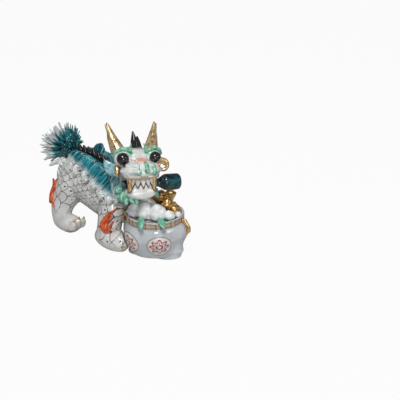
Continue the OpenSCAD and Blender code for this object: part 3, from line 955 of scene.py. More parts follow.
@dataclass
class Body:
    """Trunk, neck and four legs as one fired skin, with scales over the flanks and thighs."""

    voxel: float = 0.0011
    smooth: int = 26
    scale: float = 0.0108
    skin: tuple[str, ...] = ("torso", "neck", *(corner + "_leg" for corner in CORNERS))
    axis_z: tuple[tuple[float, float], ...] = (
        (-0.097, 0.042), (-0.027, 0.043), (0.009, 0.055), (0.048, 0.0645), (0.103, 0.063))
    thigh: tuple[float, float, float] = (0.038, 0.075, 0.032)
    thigh_r: float = 0.02
    chest: tuple[float, float, float] = (0.006, -0.053, 0.060)
    chest_r: float = 0.020

    def build(self) -> Mould:
        """Joins and smooths the clay, and lays the scales' pattern on it.

        Returns:
            The mould.
        """
        mould = Mould.from_nodes("body", list(self.skin), self.voxel, self.smooth, hollow=("torso",))
        mould.push(np.full(len(mould.mesh.vertices), 0.0004))
        p = mould.points()
        mould.paint("wrap", self.wrap(p))
        mirror = np.column_stack([np.abs(p[:, 0]), p[:, 1], p[:, 2]])
        mould.paint("mint", near(mirror, self.thigh, self.thigh_r) * 0.25)
        toes = ramp(p[:, 1], 0.052, 0.042) * ramp(p[:, 1], 0.015, 0.025) * ramp(p[:, 2], 0.026, 0.018)
        specks = (np.sin(p[:, 0] * 2100) * np.sin(p[:, 1] * 1900 + 2) * np.sin(p[:, 2] * 2300 + 1)) > 0.32
        mould.paint("gilt", toes * specks * 0.9)
        # Where the painted shadow falls on the throat, under the jaw.
        mould.paint("throat_shadow", near(p, self.chest, self.chest_r))
        return mould

    def wrap(self, p: np.ndarray) -> np.ndarray:
        """Across, along and mask of the scale pattern for each point.

        Args:
            p: places, one row each.

        Returns:
            One row for each point: across and along counted in scales, and the mask, 0 to 1.
        """
        middle = np.interp(p[:, 1], [y for y, _ in self.axis_z], [z for _, z in self.axis_z])
        angle = np.arctan2(np.abs(p[:, 0]), p[:, 2] - middle)
        trunk = np.stack([angle * Flank.girth / self.scale, -p[:, 1] / (self.scale * 0.8)], 1)
        # The scales reach lower on the front legs, and stop short of head, belly and rump.
        front = ramp(p[:, 1], 0.004, -0.006)
        lowest = 0.022 - 0.016 * front
        mask = ramp(p[:, 2], lowest, lowest + 0.01) * ramp(angle - front, 2.6, 2.3)
        mask *= 1 - ramp(p[:, 2], lowest + 0.008, lowest - 0.002) * 0.6
        head_end = ramp(p[:, 2], 0.098, 0.108) * (p[:, 1] < 0)
        rump_end = ramp(p[:, 1], 0.082, 0.094)
        return np.column_stack([trunk, mask * (1 - head_end) * (1 - rump_end)])

    def dress(self) -> None:
        """Builds and glazes the skin."""
        self.build().fire(ScaledGlaze().material(), Slot.WHITE, STATUE, list(self.skin))


# ---- hair --------------------------------------------------------------------------------


class Flank:
    """The beast's sides as a map: how far back along Y, and how far down from the spine."""

    girth = 0.034
    cover = ("left_mane", "right_mane", "torso", "neck", "left_front_leg", "right_front_leg",
             "left_hind_leg", "right_hind_leg", "tail_stem")

    def __init__(self) -> None:
        """Gathers the CAD surfaces that the hair lies on."""
        bm = bmesh.new()
        for node in self.cover:
            bm.from_mesh(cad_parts[node].data)
        self.tree = BVHTree.FromBMesh(bm)
        bm.free()

    @staticmethod
    def middle(y: float) -> float:
        """Height of the trunk's middle line at a place along it."""
        return float(np.interp(y, [a for a, _ in Body.axis_z], [b for _, b in Body.axis_z]))

    def place(self, side: int, y: float, down: float, lift: float = 0.0) -> Vector:
        """A place on the surface.

        Args:
            side: 1 for the left flank, -1 for the right.
            y: place along the beast.
            down: distance from the spine round the girth.
            lift: height over the surface.

        Returns:
            The place.
        """
        angle = down / self.girth
        out = Vector((side * math.sin(angle), 0, math.cos(angle)))
        axis = Vector((0, y, self.middle(y)))
        hit = self.tree.ray_cast(axis + out * 0.09, -out)[0]
        return (hit or axis + out * self.girth) + out * lift

    def read(self, points: np.ndarray) -> np.ndarray:
        """How far down from the spine each point is."""
        middle = np.interp(points[:, 1], [a for a, _ in Body.axis_z], [b for _, b in Body.axis_z])
        return np.arctan2(np.abs(points[:, 0]), points[:, 2] - middle) * self.girth


@dataclass
class Mane:
    """Combed hair on both flanks, white curls along its lower edge, and locks on the neck."""

    pitch: float = 0.0024
    thick: float = 0.0013
    lean: float = 0.62
    tail_y: float = 0.073
    chest_y: float = -0.043
    edge: tuple[tuple[float, float], ...] = (
        (-0.042, 0.034), (-0.027, 0.037), (-0.007, 0.036), (0.013, 0.033),
        (0.033, 0.029), (0.053, 0.026), (0.083, 0.022))
    curl_size: float = 0.0048
    curl_step: float = 0.0145
    falls: Places = (
        (0.080, 0.014, 0.026), (0.083, 0.019, 0.028), (0.085, 0.025, 0.026),
        (0.087, 0.031, 0.022), (0.088, 0.037, 0.016))
    neck_pitch: float = 0.0026
    seed: int = 7

    def end(self, y: float) -> float:
        """How far down the hair reaches at a place along the beast."""
        return float(np.interp(y, [a for a, _ in self.edge], [b for _, b in self.edge]))

    def combed(self, flank: Flank, side: int, rng: random.Random) -> list[Strand]:
        """The strands on one flank, from the spine down and back.

        Args:
            flank: the map of the sides.
            side: 1 for the left flank, -1 for the right.
            rng: where the unevenness comes from.

        Returns:
            Points and radii of each strand.
        """
        out = []
        for i in range(int((self.tail_y - self.chest_y) / self.pitch)):
            y = self.tail_y - i * self.pitch + rng.uniform(-0.0005, 0.0005)
            reach = self.end(y + 0.015) * rng.uniform(0.93, 1.08)
            path = []
            for k in range(8):
                t = k / 7
                down = 0.005 + (reach - 0.005) * t
                back = y + self.lean * down * t + 0.0012 * math.sin(t * 5 + i)
                lift = 0.0001 + 0.0012 * max(0.0, t - 0.75)
                path.append((flank.place(side, back, down, lift), self.thick * (1 - 0.62 * t * t)))
            out.append(path)
        return out

    def coils(self, flank: Flank, side: int, rng: random.Random) -> list[Strand]:
        """The curls along the lower edge of one flank, each wound on the surface.

        Args:
            flank: the map of the sides.
            side: 1 for the left flank, -1 for the right.
            rng: where the unevenness comes from.

        Returns:
            Points and radii of each curl.
        """
        out = []
        for y in np.arange(-0.033, 0.09, self.curl_step):
            size = self.curl_size * rng.uniform(0.8, 1.15)
            down = self.end(y) + size * 0.35
            path = []
            for t, back, low in spiral(20, -100, 1.35, size * 1.25, size * 0.25):
                place = flank.place(side, y + back, down + low, 0.0006)
                path.append((place, self.thick * (1 - 0.45 * t)))
            out.append(path)
        return out

    def swoops(self, flank: Flank, side: int) -> list[Strand]:
        """Long white locks that fall from the tail's root along the rump.

        Args:
            flank: the map of the sides.
            side: 1 for the left flank, -1 for the right.

        Returns:
            Points and radii of each lock.
        """
        out = []
        for i, (start, drop, length) in enumerate(self.falls):
            path = []
            for k in range(9):
                t = k / 8
                back = start - length * t + 0.002 * math.sin(t * 6 + i)
                down = drop + 0.013 * t * t + 0.0035 * math.sin(t * 4.5)
                path.append((flank.place(side, back, down, 0.0004), 0.0018 * (1 - 0.6 * t)))
            out.append(path)
        return out

    def lanes(self, points: np.ndarray, flank: Flank) -> np.ndarray:
        """The strand that each point lies on, and how far down it is, for the glaze's streaks.

        Args:
            points: places, one row each.
            flank: the map of the sides.

        Returns:
            One row for each point: the strand, the place along it and the side.
        """
        down = flank.read(points)
        lane = (points[:, 1] - self.lean * down * 0.8) / self.pitch
        return np.column_stack([lane, down * 50, np.sign(points[:, 0]) * 9])

    def pale(self, points: np.ndarray, flank: Flank) -> np.ndarray:
        """How far each point is from root to tip; hair near the tail pales early.

        Args:
            points: places, one row each.
            flank: the map of the sides.

        Returns:
            One value for each point, 0 at the root and 1 at the tip.
        """
        ends = np.interp(points[:, 1], [a for a, _ in self.edge], [b for _, b in self.edge])
        share = flank.read(points) / ends
        return share * 0.9 + ramp(points[:, 1], 0.05, 0.085) * 0.55 * np.clip(share, 0, 1)

    def dress(self) -> None:
        """Builds and glazes the hair."""
        rng = random.Random(self.seed)
        flank = Flank()
        glaze = HairGlaze("mane glaze").material()
        base = Mould.from_nodes("mane_base", ["left_mane", "right_mane"], 0.0008, 8)
        p = base.points()
        comb = self.lanes(p, flank)
        base.push(np.cos(comb[:, 0] * math.tau) * 0.0003)
        base.paint("tip", self.pale(p, flank))
        base.paint("comb", comb)
        base.fire(glaze, Slot.TEAL, STATUE, ["left_mane", "right_mane"])
        strands, white = [], []
        for side in (-1, 1):
            strands += self.combed(flank, side, rng)
            white += self.coils(flank, side, rng) + self.swoops(flank, side)
        hair = Mould.from_strands("mane_strands", strands, 4)
        hair.paint("tip", self.pale(hair.points(), flank))
        hair.paint("comb", self.lanes(hair.points(), flank))
        hair.fire(glaze, Slot.TEAL, STATUE, [])
        ends = Mould.from_strands("mane_curls", white, 4)
        ends.paint("tip", np.full(len(ends.mesh.vertices), 1.05))
        ends.paint("comb", ends.points() * 300)
        ends.fire(glaze, Slot.TEAL, STATUE, [])
        self.locks()

    def locks(self) -> None:
        """The pale locks that hang on the neck beside the head."""
        mould = Mould.from_nodes("neck_hair", ["neck_locks"], 0.0007, 8)
        q = mould.points()
        lane = (q[:, 1] * 0.9 + q[:, 2] * 0.35) / self.neck_pitch
        mould.push(np.cos(lane * math.tau) * 0.0004)
        mould.paint("comb", np.column_stack([lane, q[:, 2] * 50, np.zeros(len(q))]))
        mould.paint("tip", 0.35 + ramp(q[:, 2], 0.112, 0.062) * 0.6)
        pale = HairGlaze("neck hair glaze", (0.02, 0.22, 0.27), (0.16, 0.50, 0.55))
        mould.fire(pale.material(), Slot.TEAL, STATUE, ["neck_locks"])


@dataclass
class Tail:
    """A bushy plume of bent fingers over a core, dark in the middle with pale tips."""

    root: tuple[float, float, float] = (0.0, 0.0888, 0.104)
    reach: float = 0.033
    thick: float = 0.0021
    dark: Colour = (0.001, 0.035, 0.045)
    bright: Colour = (0.008, 0.20, 0.24)
    tips: Colour = (0.66, 0.70, 0.70)
    seed: int = 3

    def fingers(self) -> list[Strand]:
        """The thin fingers between the thick ones of the CAD fan.

        Returns:
            Points and radii of each finger.
        """
        rng = random.Random(self.seed)
        out = []
        for lift in range(-44, 156, 9):
            for row in (-1.5, -1.0, -0.5, 0.0, 0.5, 1.0, 1.5):
                up = math.radians(lift + rng.uniform(-5, 5))
                side = math.radians(row * 36 + (4 if lift > 60 else -12) + rng.uniform(-7, 7))
                far = self.reach * (1 + 0.1 * math.cos(up) - 0.13 * row - (0.22 if lift > 100 else 0))
                far *= rng.uniform(0.82, 1.05) * (0.85 if abs(row) > 1.2 else 1.0)
                aim = Vector((math.sin(side), math.cos(side) * math.cos(up), math.cos(side) * math.sin(up)))
                sway = Vector((rng.uniform(-1, 1), rng.uniform(-1, 1), rng.uniform(-1, 1))) * 0.0018
                path = []
                for k in range(7):
                    t = k / 6
                    place = Vector(self.root) + aim * (0.004 + (far - 0.004) * t)
                    place += sway * math.sin(t * math.pi * 1.3)
                    place.z -= 0.0016 * math.sin(t * math.pi)
                    path.append((place, self.thick * (1 - 0.8 * t) + 0.0002))
                out.append(path)
        return out

    def dress(self) -> None:
        """Builds and glazes the core and the fingers."""
        glaze = HairGlaze("plume glaze", self.dark, self.bright, self.tips, turn=0.5, comb=0.6).material()
        thin = Mould.from_strands("plume_fingers", self.fingers(), 4)
        core = Mould.from_nodes("plume_core", ["tail_stem", "tail_plume"], 0.0008, 5)
        for mould, nodes in ((thin, []), (core, ["tail_stem", "tail_plume"])):
            p = mould.points()
            away = np.linalg.norm(p - np.array(self.root), axis=1)
            side = np.clip((p[:, 1] - self.root[1]) / 0.02 - p[:, 0] / 0.03, -0.6, 1)
            mould.paint("tip", ramp(away, 0.012, 0.034) * (0.84 + 0.28 * side))
            mould.paint("comb", (p - np.array(self.root)) / away[:, None] * 12)
            mould.fire(glaze, Slot.TEAL, STATUE, nodes)


# ---- head --------------------------------------------------------------------------------


@dataclass
class Head:
    """Skull and muzzle in one skin, jaw, eyes, teeth, horns and everything on the face.

    Places on the head are millimetres in its own axes, and those of marks that it has on both
    sides are given for the left.
    """

    axes: HeadFrame = field(default_factory=HeadFrame)
    voxel: float = 0.0007
    tooth_step: float = 22.0
    bite: tuple[float, float] = (-34.5, -28.5)
    curls: tuple[tuple[float, float, float, float, float], ...] = (
        (-19.0, -5.0, -46.0, 5.6, 2.3), (-10.5, -12.0, -48.5, 4.2, 2.0), (-24.0, 2.0, -38.0, 4.0, 1.8))
    coils: tuple[tuple[float, float, float, float], ...] = (
        (28.0, -8.5, -9.5, -8.0), (-24.0, 5.0, -15.0, 68.0))
    folds: tuple[Places, ...] = (
        ((8, -25, -7), (16, -18, -8), (22, -8, -7)),
        ((7, -28, -14), (16, -22, -14), (23, -12, -14)),
        ((6, -27, -21), (15, -22, -20.5), (22, -13, -21)))
    cheek: Places = ((27, 14, 2), (29, 10, -8), (26, 6, -18))
    bridge: Places = ((0, -12, 1), (7, -13, 0), (11, -10, -4))
    under_eye: Places = ((20, -12, -6), (18.5, -14, -11))
    lip: Places = ((0, -20, -38), (10, -17, -37), (17, -6, -36))

    def face(self) -> None:
        """Skull and muzzle, with wrinkles, lips and painted marks."""
        mould = Mould.from_nodes("face", ["skull", "muzzle"], self.voxel, 12)
        p = self.axes.local(mould.points())
        x = np.abs(p[:, 0])
        mirror = np.column_stack([x, p[:, 1], p[:, 2]])
        lift = near(mirror, (9, -22, -8), 6) * 0.8 + near(mirror, (24, 8, -14), 12) * 1.6
        for fold in self.folds:
            lift += near_path(mirror, fold, 3.0) * 2.3
        lift += np.sin(p[:, 2] * 1.5) * near(mirror, (0, 6, 14), 14) * 0.5
        mould.push(lift * MM)
        dome = ramp(np.linalg.norm(mirror - np.array((18, 3, 1)), axis=1), 14.5, 12.5)
        shade = ramp(p[:, 2], 1, 6) * ramp(p[:, 1], 12, 6)
        patch = 0.55 + 0.45 * ripples(p, 5.0)
        curls = near(mirror - np.array((3, 0, 0)), (9.5, -27, -14), 6) + near(mirror, (3, -28, -13), 6)
        between = near(mirror, (10, -7, 6), 7)
        mould.paint("mint", np.clip(dome * shade * patch + between * 0.6 + curls * 0.5, 0, 1))
        lips = ramp(p[:, 2], -18.6, -20.0) * ramp(p[:, 1], 6, 2)
        mould.paint("gilt", np.clip(lips * 0.8 + near_path(mirror, self.cheek, 3.5), 0, 1))
        mould.paint("salmon", near_path(mirror, self.bridge, 2.6) * 0.6)
        mould.paint("ink", np.clip(near_path(mirror, self.under_eye, 4.6) * 1.6, 0, 1))
        mould.fire(FaceGlaze().material(), Slot.WHITE, STATUE, ["skull", "muzzle"])

    def jaw(self) -> None:
        """Lower jaw with a gilt lip, and painted shade round the fangs and inside the mouth."""
        mould = Mould.from_nodes("jaw", ["lower_jaw"], self.voxel, 8)
        p = self.axes.local(mould.points())
        mirror = np.column_stack([np.abs(p[:, 0]), p[:, 1], p[:, 2]])
        mould.paint("mint", near(mirror, (16, 2, -48), 12) * 0.8)
        mould.paint("gilt", near_path(mirror, self.lip, 1.6) * 0.4)
        mould.paint("salmon", np.zeros(len(p)))
        # Painted shade, carried by the ink mask: black round the fangs and inside the mouth above the lower
        # teeth.
        fangs = near(mirror, (15, -14.5, -37), 7) * 1.4
        mould.paint("ink", np.clip(fangs + near(mirror, (0, 0, -34), 16) * 3 * (p[:, 2] > -36.5), 0, 1))
        mould.fire(FaceGlaze(name="jaw glaze").material(), Slot.WHITE, STATUE, ["lower_jaw"])

    def eyes(self) -> None:
        """Glossy black eyeballs."""
        black, brown = (0.012, 0.011, 0.011), (0.02, 0.018, 0.018)
        material = Glaze("eye glaze", black, brown, roughness=0.05, ripple=0.00002).material()
        for node in ("left_eye", "right_eye"):
            low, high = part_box(node)
            bm = bmesh.new()
            bmesh.ops.create_uvsphere(bm, u_segments=48, v_segments=32, radius=(high.x - low.x) / 2)
            bmesh.ops.translate(bm, verts=bm.verts, vec=(low + high) / 2)
            mesh = bpy.data.meshes.new(node)
            bm.to_mesh(mesh)
            bm.free()
            Mould("eyeball_" + node, mesh).fire(material, Slot.BLACK, STATUE, [node])

    def teeth(self) -> None:
        """Both rows of teeth as one white band, with the bite between them drawn in black."""
        nodes = ["upper_teeth", "lower_teeth"]
        mould = Mould.from_nodes("teeth", nodes, 0.0004, 2, grow=0.0008)
        p = self.axes.local(mould.points())
        # The bite is a zigzag round the jaw, one peak to each tooth.
        angle = np.degrees(np.arctan2(p[:, 0], -3 - p[:, 1]))
        step = np.abs((angle / self.tooth_step) % 1 - 0.5) * 2
        low, high = self.bite
        away = np.abs(p[:, 2] - (high + (low - high) * step)) * 0.45
        for mask in ("mint", "gilt", "salmon"):
            mould.paint(mask, np.zeros(len(p)))
        mould.paint("ink", np.clip(1.6 - away / 0.6, 0, 1))
        glaze = FaceGlaze(name="tooth glaze", white=(0.84, 0.83, 0.79), shade=(0.74, 0.72, 0.67))
        mould.fire(glaze.material(), Slot.TOOTH, STATUE, nodes)

    def whiskers(self) -> None:
        """Gold whiskers, each wound up on itself beside the cheek."""
        strands = []
        for x, y, z, turn in self.coils:
            spin = Matrix.Rotation(math.radians(turn), 3, "Z")
            path = []
            for t, across, up in spiral(28, 215, -1.6, 8.6, 2.8):
                place = Vector((x, y, z)) + spin @ Vector((across, 1.5 * t, up))
                path.append((self.axes.world(*place), (2.8 - 1.0 * t) * MM))
            strands.append(path)
        loose = Mould.from_strands("wound", strands)
        mould = Mould.smoothed("whiskers", loose.mesh, 0.0004, 2)
        mould.fire(Lustre("whisker lustre").material(), Slot.GOLD, STATUE, ["left_whisker", "right_whisker"])

    def beard(self) -> None:
        """Curls wound among the beard's tufts at the corner of the jaw."""
        strands = []
        for x, y, z, size, rod in self.curls:
            path = []
            for t, across, up in spiral(22, 100, 1.5, size, size * 0.2):
                place = self.axes.world(x + across, y - t, z + up)
                path.append((place, rod * (1 - 0.35 * t) * MM))
            strands.append(path)
        loose = Mould.from_strands("curled", strands)
        glaze = Glaze("beard enamel", (0.30, 0.62, 0.46), (0.10, 0.36, 0.24), patch=260)
        Mould.smoothed("beard_curls", loose.mesh, 0.0004, 3).fire(glaze.material(), Slot.GREEN, STATUE, [])

    def trim(self) -> None:
        """The small clay pieces that keep their CAD forms, rounded and glazed."""
        mint = Glaze("mint enamel", (0.32, 0.64, 0.48), (0.07, 0.32, 0.21), patch=260)
        salmon = Glaze("salmon enamel", (0.85, 0.38, 0.25), (0.72, 0.24, 0.14))
        pale = Glaze("pale teal glaze", (0.50, 0.70, 0.74), (0.12, 0.38, 0.44), patch=260)
        black = Glaze("black glaze", (0.010, 0.010, 0.012), (0.03, 0.028, 0.026), patch=300, ripple=0.00004)
        gold = Lustre()
        dark_gold = Lustre("horn lustre", (0.80, 0.58, 0.32), (0.16, 0.10, 0.05), 170, 0.6)
        for name, nodes, finish, slot, smooth in (
            ("brows", ["left_brow", "right_brow"], mint, Slot.GREEN, 9),
            ("nose_curls_glazed", ["nose_curls"], mint, Slot.GREEN, 3),
            ("beard_tufts", ["beard"], mint, Slot.GREEN, 4),
            ("nose_bridge", ["nose_ridge"], salmon, Slot.ORANGE, 3),
            ("ears", ["left_ear", "right_ear"], pale, Slot.PALE_TEAL, 5),
            ("horns", ["left_horn", "right_horn"], dark_gold, Slot.GOLD, 4),
            ("crest", ["crest_spike"], black, Slot.BLACK, 3),
            ("spines", ["dorsal_spines"], black, Slot.BLACK, 3),
            ("fangs", ["left_fang", "right_fang"], gold, Slot.GOLD, 1),
        ):
            mould = Mould.from_nodes(name, nodes, 0.0005, smooth)
            mould.fire(finish.material(), slot, STATUE, nodes)

    def dress(self) -> None:
        """Builds and glazes the whole head."""
        self.face()
        self.jaw()
        self.eyes()
        self.teeth()
        self.whiskers()
        self.beard()
        self.trim()


@dataclass
class Flames:
    """Orange flames of a few tongues each, laid on the elbows and thighs, and the gold claws.

    A tongue on an elbow or haunch is given as places along Y, up, and radius; one behind a thigh
    as across, up, radius. All are millimetres.
    """

    elbow: tuple[Places, ...] = (
        ((-33, 25, 3.0), (-26, 29, 3.8), (-24.5, 35, 3.8), (-28, 43, 3.2), (-36, 51, 2.3),
         (-43, 55, 1.6), (-49, 62, 0.8)),
        ((-32, 25, 3.0), (-40, 32, 2.8), (-44, 39, 1.9), (-49, 46, 0.8)),
        ((-27, 32, 3.2), (-31, 38, 2.8), (-37, 45, 1.2)),
        ((-29, 28, 3.8), (-30, 36, 3.8), (-31, 43, 2.8)))
    thigh: tuple[Places, ...] = (
        ((38, 40, 3.0), (42, 47, 4.0), (40.5, 55, 3.4), (38, 62, 2.6), (35, 69, 1.2)),
        ((35, 30, 3.0), (37.5, 37, 4.0), (36, 43, 3.0), (32, 48, 1.2)),
        ((42, 49, 3.4), (39.5, 43, 3.6), (36.5, 35, 3.0)),
        ((36, 36, 2.6), (32, 40, 2.0), (28, 46, 1.0)))
    haunch: tuple[Places, ...] = (
        ((84, 35, 3.2), (80, 42, 4.6), (81, 51, 4.0), (84, 59, 2.8), (87, 67, 1.2)),
        ((81, 43, 3.6), (75, 39, 3.2), (71, 34, 1.3)),
        ((81, 52, 3.4), (76, 55, 2.6), (72, 60, 1.0)))
    nodes: tuple[str, ...] = tuple(corner + "_flame" for corner in CORNERS)
    claws: tuple[str, ...] = tuple(corner + "_claws" for corner in CORNERS)
    legs: tuple[str, ...] = (*(corner + "_leg" for corner in CORNERS), "torso")

    def tongues(self) -> list[Strand]:
        """All tongues, dropped on the legs from the side or from behind.

        Returns:
            Points and radii of each tongue.
        """
        bm = bmesh.new()
        for node in self.legs:
            bm.from_mesh(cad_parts[node].data)
        tree = BVHTree.FromBMesh(bm)
        bm.free()
        out = []
        for side in (-1, 1):
            beside, behind = Vector((side, 0, 0)), Vector((0, 1, 0))
            out += [self.laid(tree, tongue, beside, behind, 0.6 * MM) for tongue in self.elbow]
            out += [self.laid(tree, tongue, beside, behind, 1.6 * MM) for tongue in self.haunch]
            out += [self.laid(tree, tongue, behind, beside, 3.2 * MM) for tongue in self.thigh]
        return out

    @staticmethod
    def laid(tree: BVHTree, tongue: Places, out: Vector, along: Vector, lift: float) -> Strand:
        """One tongue, dropped on the clay.

        Args:
            tree: the clay's surface.
            tongue: its places.
            out: the way it is dropped from.
            along: the direction of each place's first number.
            lift: height over the clay.

        Returns:
            Points and radii.
        """
        path, deep = [], 0.04
        for first, up, radius in tongue:
            place = along * first * MM + Vector((0, 0, up * MM))
            hit = tree.ray_cast(place + out * 0.15, -out)[0]
            deep = hit.dot(out) if hit and hit.dot(out) > 0.03 else deep
            path.append((place + out * (deep + lift), radius * MM))
        return path

    def dress(self) -> None:
        """Builds and glazes them."""
        orange = Glaze("orange enamel", (0.80, 0.16, 0.035), (0.55, 0.05, 0.015), patch=190)
        loose = Mould.from_strands("tongues", self.tongues())
        mould = Mould.smoothed("flames", loose.mesh, 0.0005, 3)
        mould.fire(orange.material(), Slot.ORANGE, STATUE, list(self.nodes))
        tips = Mould.from_nodes("claws", list(self.claws), 0.0005, 1)
        tips.fire(Lustre("claw lustre").material(), Slot.GOLD, STATUE, list(self.claws))


# ---- pot and treasure --------------------------------------------------------------------


@dataclass
class Pot:
    """The lobed pot with its band, handles, peaches, leaves, ingots and pearls.

    The peaches' places and radii, and the height of the bed under them, are millimetres.
    """

    lobes: int = 6
    lobe_depth: float = 0.0016
    first_lobe: float = -130.0
    tucked: float = -48.0
    tuck: float = 0.0055
    corner: float = -84.0
    corner_r: float = 0.0440
    bed_z: float = 50.0
    fruit: tuple[tuple[float, float, float], ...] = (
        (-22, 13, 10), (-18, -2, 11.5), (-12, -16, 11), (-2, -26, 7), (-7, 7, 12))

    def ripe(self, points: np.ndarray, axis: Vector) -> np.ndarray:
        """Height of the peaches' pointed tips over their clefts.

        Args:
            points: places on the fruit.
            axis: the pot's middle.

        Returns:
            Metres out along the normal, one for each place.
        """
        tip = Vector((-0.35, -0.2, 0.92)).normalized()
        across = Vector((0.75, -0.66, 0)).normalized()
        height = np.zeros(len(points))
        for x, y, radius in self.fruit:
            middle = np.array((axis.x + x * MM, axis.y + y * MM, (self.bed_z + radius - 3) * MM))
            away = (points - middle) / (radius * MM)
            far = np.linalg.norm(away, axis=1)
            skin = np.exp(-(((far - 1) / 0.12) ** 2))
            rise = np.clip((away @ np.array(tip) / far - 0.72) / 0.28, 0, 1) ** 2
            cleft = np.exp(-((away @ np.array(across) / 0.13) ** 2)) * (1 - rise)
            height += skin * (rise * 0.34 - cleft * 0.10) * radius * MM
        return height

    def axis(self) -> Vector:
        """The middle of the pot, on the floor, from its bed's box."""
        low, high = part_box("treasure_bed")
        return Vector(((low.x + high.x) / 2, (low.y + high.y) / 2, 0))

    def dress(self) -> None:
        """Builds and glazes the pot and all that is in it."""
        axis = self.axis()
        mould = Mould.from_nodes("lobed_pot", ["pot"], 0.0011, 5)
        p = mould.points()
        turn = np.arctan2(p[:, 1] - axis.y, p[:, 0] - axis.x)
        out = np.hypot(p[:, 1] - axis.y, p[:, 0] - axis.x)
        belly = np.clip(1 - ((p[:, 2] - 0.024) / 0.02) ** 2, 0, 1) * (out > 0.034)
        wave = np.cos((turn - math.radians(self.first_lobe)) * self.lobes)
        mould.push(belly * (wave - 1) * self.lobe_depth)
        # The foot spreads to a corner at one angle, and is drawn in at another.
        corner = np.exp(-(((turn - math.radians(self.corner)) / 0.34) ** 2))
        spread = np.clip(self.corner_r - out, 0, 0.007) * corner
        spread *= ramp(p[:, 2], 0.017, 0.007) * (out > 0.029)
        tuck = np.exp(-(((turn - math.radians(self.tucked)) / 0.5) ** 2)) * ramp(p[:, 2], 0.028, 0.014)
        spread -= tuck * self.tuck * (out > 0.02)
        mould.shift(np.column_stack([np.cos(turn) * spread, np.sin(turn) * spread, np.zeros(len(p))]))
        mould.fire(PotGlaze((axis.x, axis.y), first=self.first_lobe).material(), Slot.POT, STATUE, ["pot"])
        gold = Lustre("treasure lustre", (0.80, 0.52, 0.20), (0.42, 0.22, 0.07), 200)
        heap = Glaze("bed glaze", (0.50, 0.50, 0.47), (0.30, 0.31, 0.30))
        # The peaches take only a little painted shade in their creases.
        white = Glaze("peach glaze", (0.93, 0.93, 0.93), (0.82, 0.83, 0.86), patch=90, crease_shade=0.08)
        leaf = Glaze("leaf enamel", (0.24, 0.60, 0.44), (0.12, 0.42, 0.29))
        bead = Glaze("pearl glaze", (0.85, 0.85, 0.83), (0.75, 0.76, 0.77))
        for name, nodes, finish, slot, rough in (
            ("pot_handles", ["left_pot_handle", "right_pot_handle"], gold, Slot.GOLD, 0.1),
            ("bed", ["treasure_bed"], heap, Slot.BED, 0.3),
            ("peach_fruit", ["peaches"], white, Slot.WHITE, 0.5),
            ("leaves", ["peach_leaves"], leaf, Slot.GREEN, 0.2),
            ("ingots", ["gold_ingots"], gold, Slot.GOLD, 0.45),
            ("coins", ["gold_coins"], gold, Slot.GOLD, 0.2),
            ("pearl_beads", ["pearls"], bead, Slot.PEARL, 0.0),
        ):
            mould = Mould.from_nodes(name, nodes, 0.0006, 3)
            mould.push(ripples(mould.points(), 0.007) * rough * MM)
            if nodes == ["peaches"]:
                mould.push(self.ripe(mould.points(), axis))
            mould.fire(finish.material(), slot, STATUE, nodes)


@dataclass
class Scroll:
    """The loose scroll: its roller and the roll outside the mouth."""

    def dress(self) -> None:
        """Builds and glazes the scroll."""
        teal, pool = (0.003, 0.080, 0.105), (0.001, 0.010, 0.014)
        glaze = Glaze("scroll glaze", teal, pool, patch=130, roughness=0.05, ripple=0.0006)
        nodes = ["scroll_roller", "scroll_paper"]
        mould = Mould.from_nodes("scroll_piece", nodes, 0.0006, 40)
        mould.fire(glaze.material(), Slot.SCROLL, SCROLL, nodes)


# ---- stage -------------------------------------------------------------------------------


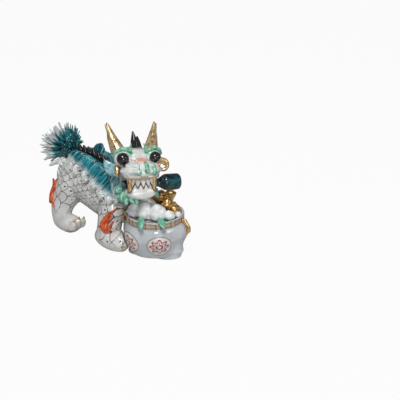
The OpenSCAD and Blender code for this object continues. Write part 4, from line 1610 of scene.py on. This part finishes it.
@dataclass
class Studio:
    """Floor, lamps and the camera that sees the statue as the photograph does."""

    azimuth: float = -50.0
    elevation: float = 22.0
    eye: tuple[float, float, float] = (-0.5172, -0.5837, 0.3582)
    focal_pixels: float = 615.0
    picture: int = 400
    sensor: float = 36.0
    floor_size: float = 30.0
    ambient: float = 0.10
    mirrored: float = 0.17
    paper: Colour = (0.55, 0.55, 0.55)
    glow: float = 0.955
    aim: tuple[float, float, float] = (0.0, 0.0, 0.07)
    lamps: tuple[tuple[str, tuple[float, float, float], float, float], ...] = (
        ("key", (-0.55, -0.50, 1.25), 11.0, 0.42),
        ("fill", (0.35, -1.2, 0.75), 2.0, 0.35),
        ("front", (-0.65, -0.95, 0.32), 2.6, 0.4),
        ("back", (0.3, 1.0, 0.9), 2.2, 0.8))

    def camera(self) -> None:
        """Sets the camera."""
        data = bpy.data.cameras.new("camera")
        data.sensor_width = self.sensor
        data.lens = self.focal_pixels / self.picture * self.sensor
        data.clip_end = 100
        camera = bpy.data.objects.new("camera", data)
        bpy.context.scene.collection.objects.link(camera)
        turn, tilt = math.radians(self.azimuth), math.radians(self.elevation)
        camera.rotation_euler = Euler((math.pi / 2 - tilt, 0, turn), "XYZ")
        camera.location = self.eye
        bpy.context.scene.camera = camera

    def floor(self) -> None:
        """A pale floor that keeps the statue's shadow."""
        bm = bmesh.new()
        bmesh.ops.create_grid(bm, x_segments=1, y_segments=1, size=self.floor_size / 2)
        mesh = bpy.data.meshes.new("floor")
        bm.to_mesh(mesh)
        bm.free()
        g = Graph("floor")
        g.finish(self.paper, 0.6)
        # The camera sees the floor near white; light that falls on it still shows the shadow.
        path = g.node("LightPath")
        glow = g.node("Emission", Color=(1, 1, 1, 1), Strength=1.0)
        share = g.times(path.outputs["Is Camera Ray"], self.glow)
        both = g.node("MixShader", Fac=share)
        g.tree.links.new(g.shader.outputs[0], both.inputs[1])
        g.tree.links.new(glow.outputs[0], both.inputs[2])
        g.tree.links.new(both.outputs[0], g.tree.nodes["Material Output"].inputs[0])
        mesh.materials.append(g.material)
        floor = bpy.data.objects.new("floor", mesh)
        bpy.context.scene.collection.objects.link(floor)

    def world(self) -> None:
        """A white surround for what the camera and glossy glaze see, softer as light."""
        world = bpy.data.worlds.new("surround")
        bpy.context.scene.world = world
        world.use_nodes = True
        tree = world.node_tree
        back = tree.nodes["Background"]
        back.inputs["Color"].default_value = (1, 1, 1, 1)
        path = tree.nodes.new("ShaderNodeLightPath")
        glossy = tree.nodes.new("ShaderNodeMapRange")
        glossy.inputs["To Min"].default_value = self.ambient
        glossy.inputs["To Max"].default_value = self.mirrored
        tree.links.new(path.outputs["Is Glossy Ray"], glossy.inputs["Value"])
        seen = tree.nodes.new("ShaderNodeMapRange")
        seen.inputs["To Max"].default_value = 1.0
        tree.links.new(path.outputs["Is Camera Ray"], seen.inputs["Value"])
        tree.links.new(glossy.outputs["Result"], seen.inputs["To Min"])
        tree.links.new(seen.outputs["Result"], back.inputs["Strength"])

    def lamp(self, name: str, place: tuple, watts: float, size: float) -> None:
        """A soft square lamp that looks at the statue.

        Args:
            name: its name.
            place: where it stands.
            watts: its power.
            size: its side.
        """
        data = bpy.data.lights.new(name, "AREA")
        data.energy = watts
        data.size = size
        lamp = bpy.data.objects.new(name, data)
        bpy.context.scene.collection.objects.link(lamp)
        lamp.location = place
        lamp.rotation_euler = (Vector(self.aim) - Vector(place)).to_track_quat("-Z", "Y").to_euler()

    def dress(self) -> None:
        """Sets up the studio."""
        self.camera()
        self.floor()
        self.world()
        for name, place, watts, size in self.lamps:
            self.lamp(name, place, watts, size)
        bpy.context.scene.view_settings.view_transform = "Standard"


def main() -> None:
    """Builds every sub-assembly in order."""
    Studio().dress()
    for assembly in (Body(), Mane(), Tail(), Head(), Flames(), Pot(), Scroll()):
        LOG.info("making %s", type(assembly).__name__)
        assembly.dress()


if __name__ == "__main__":
    main()
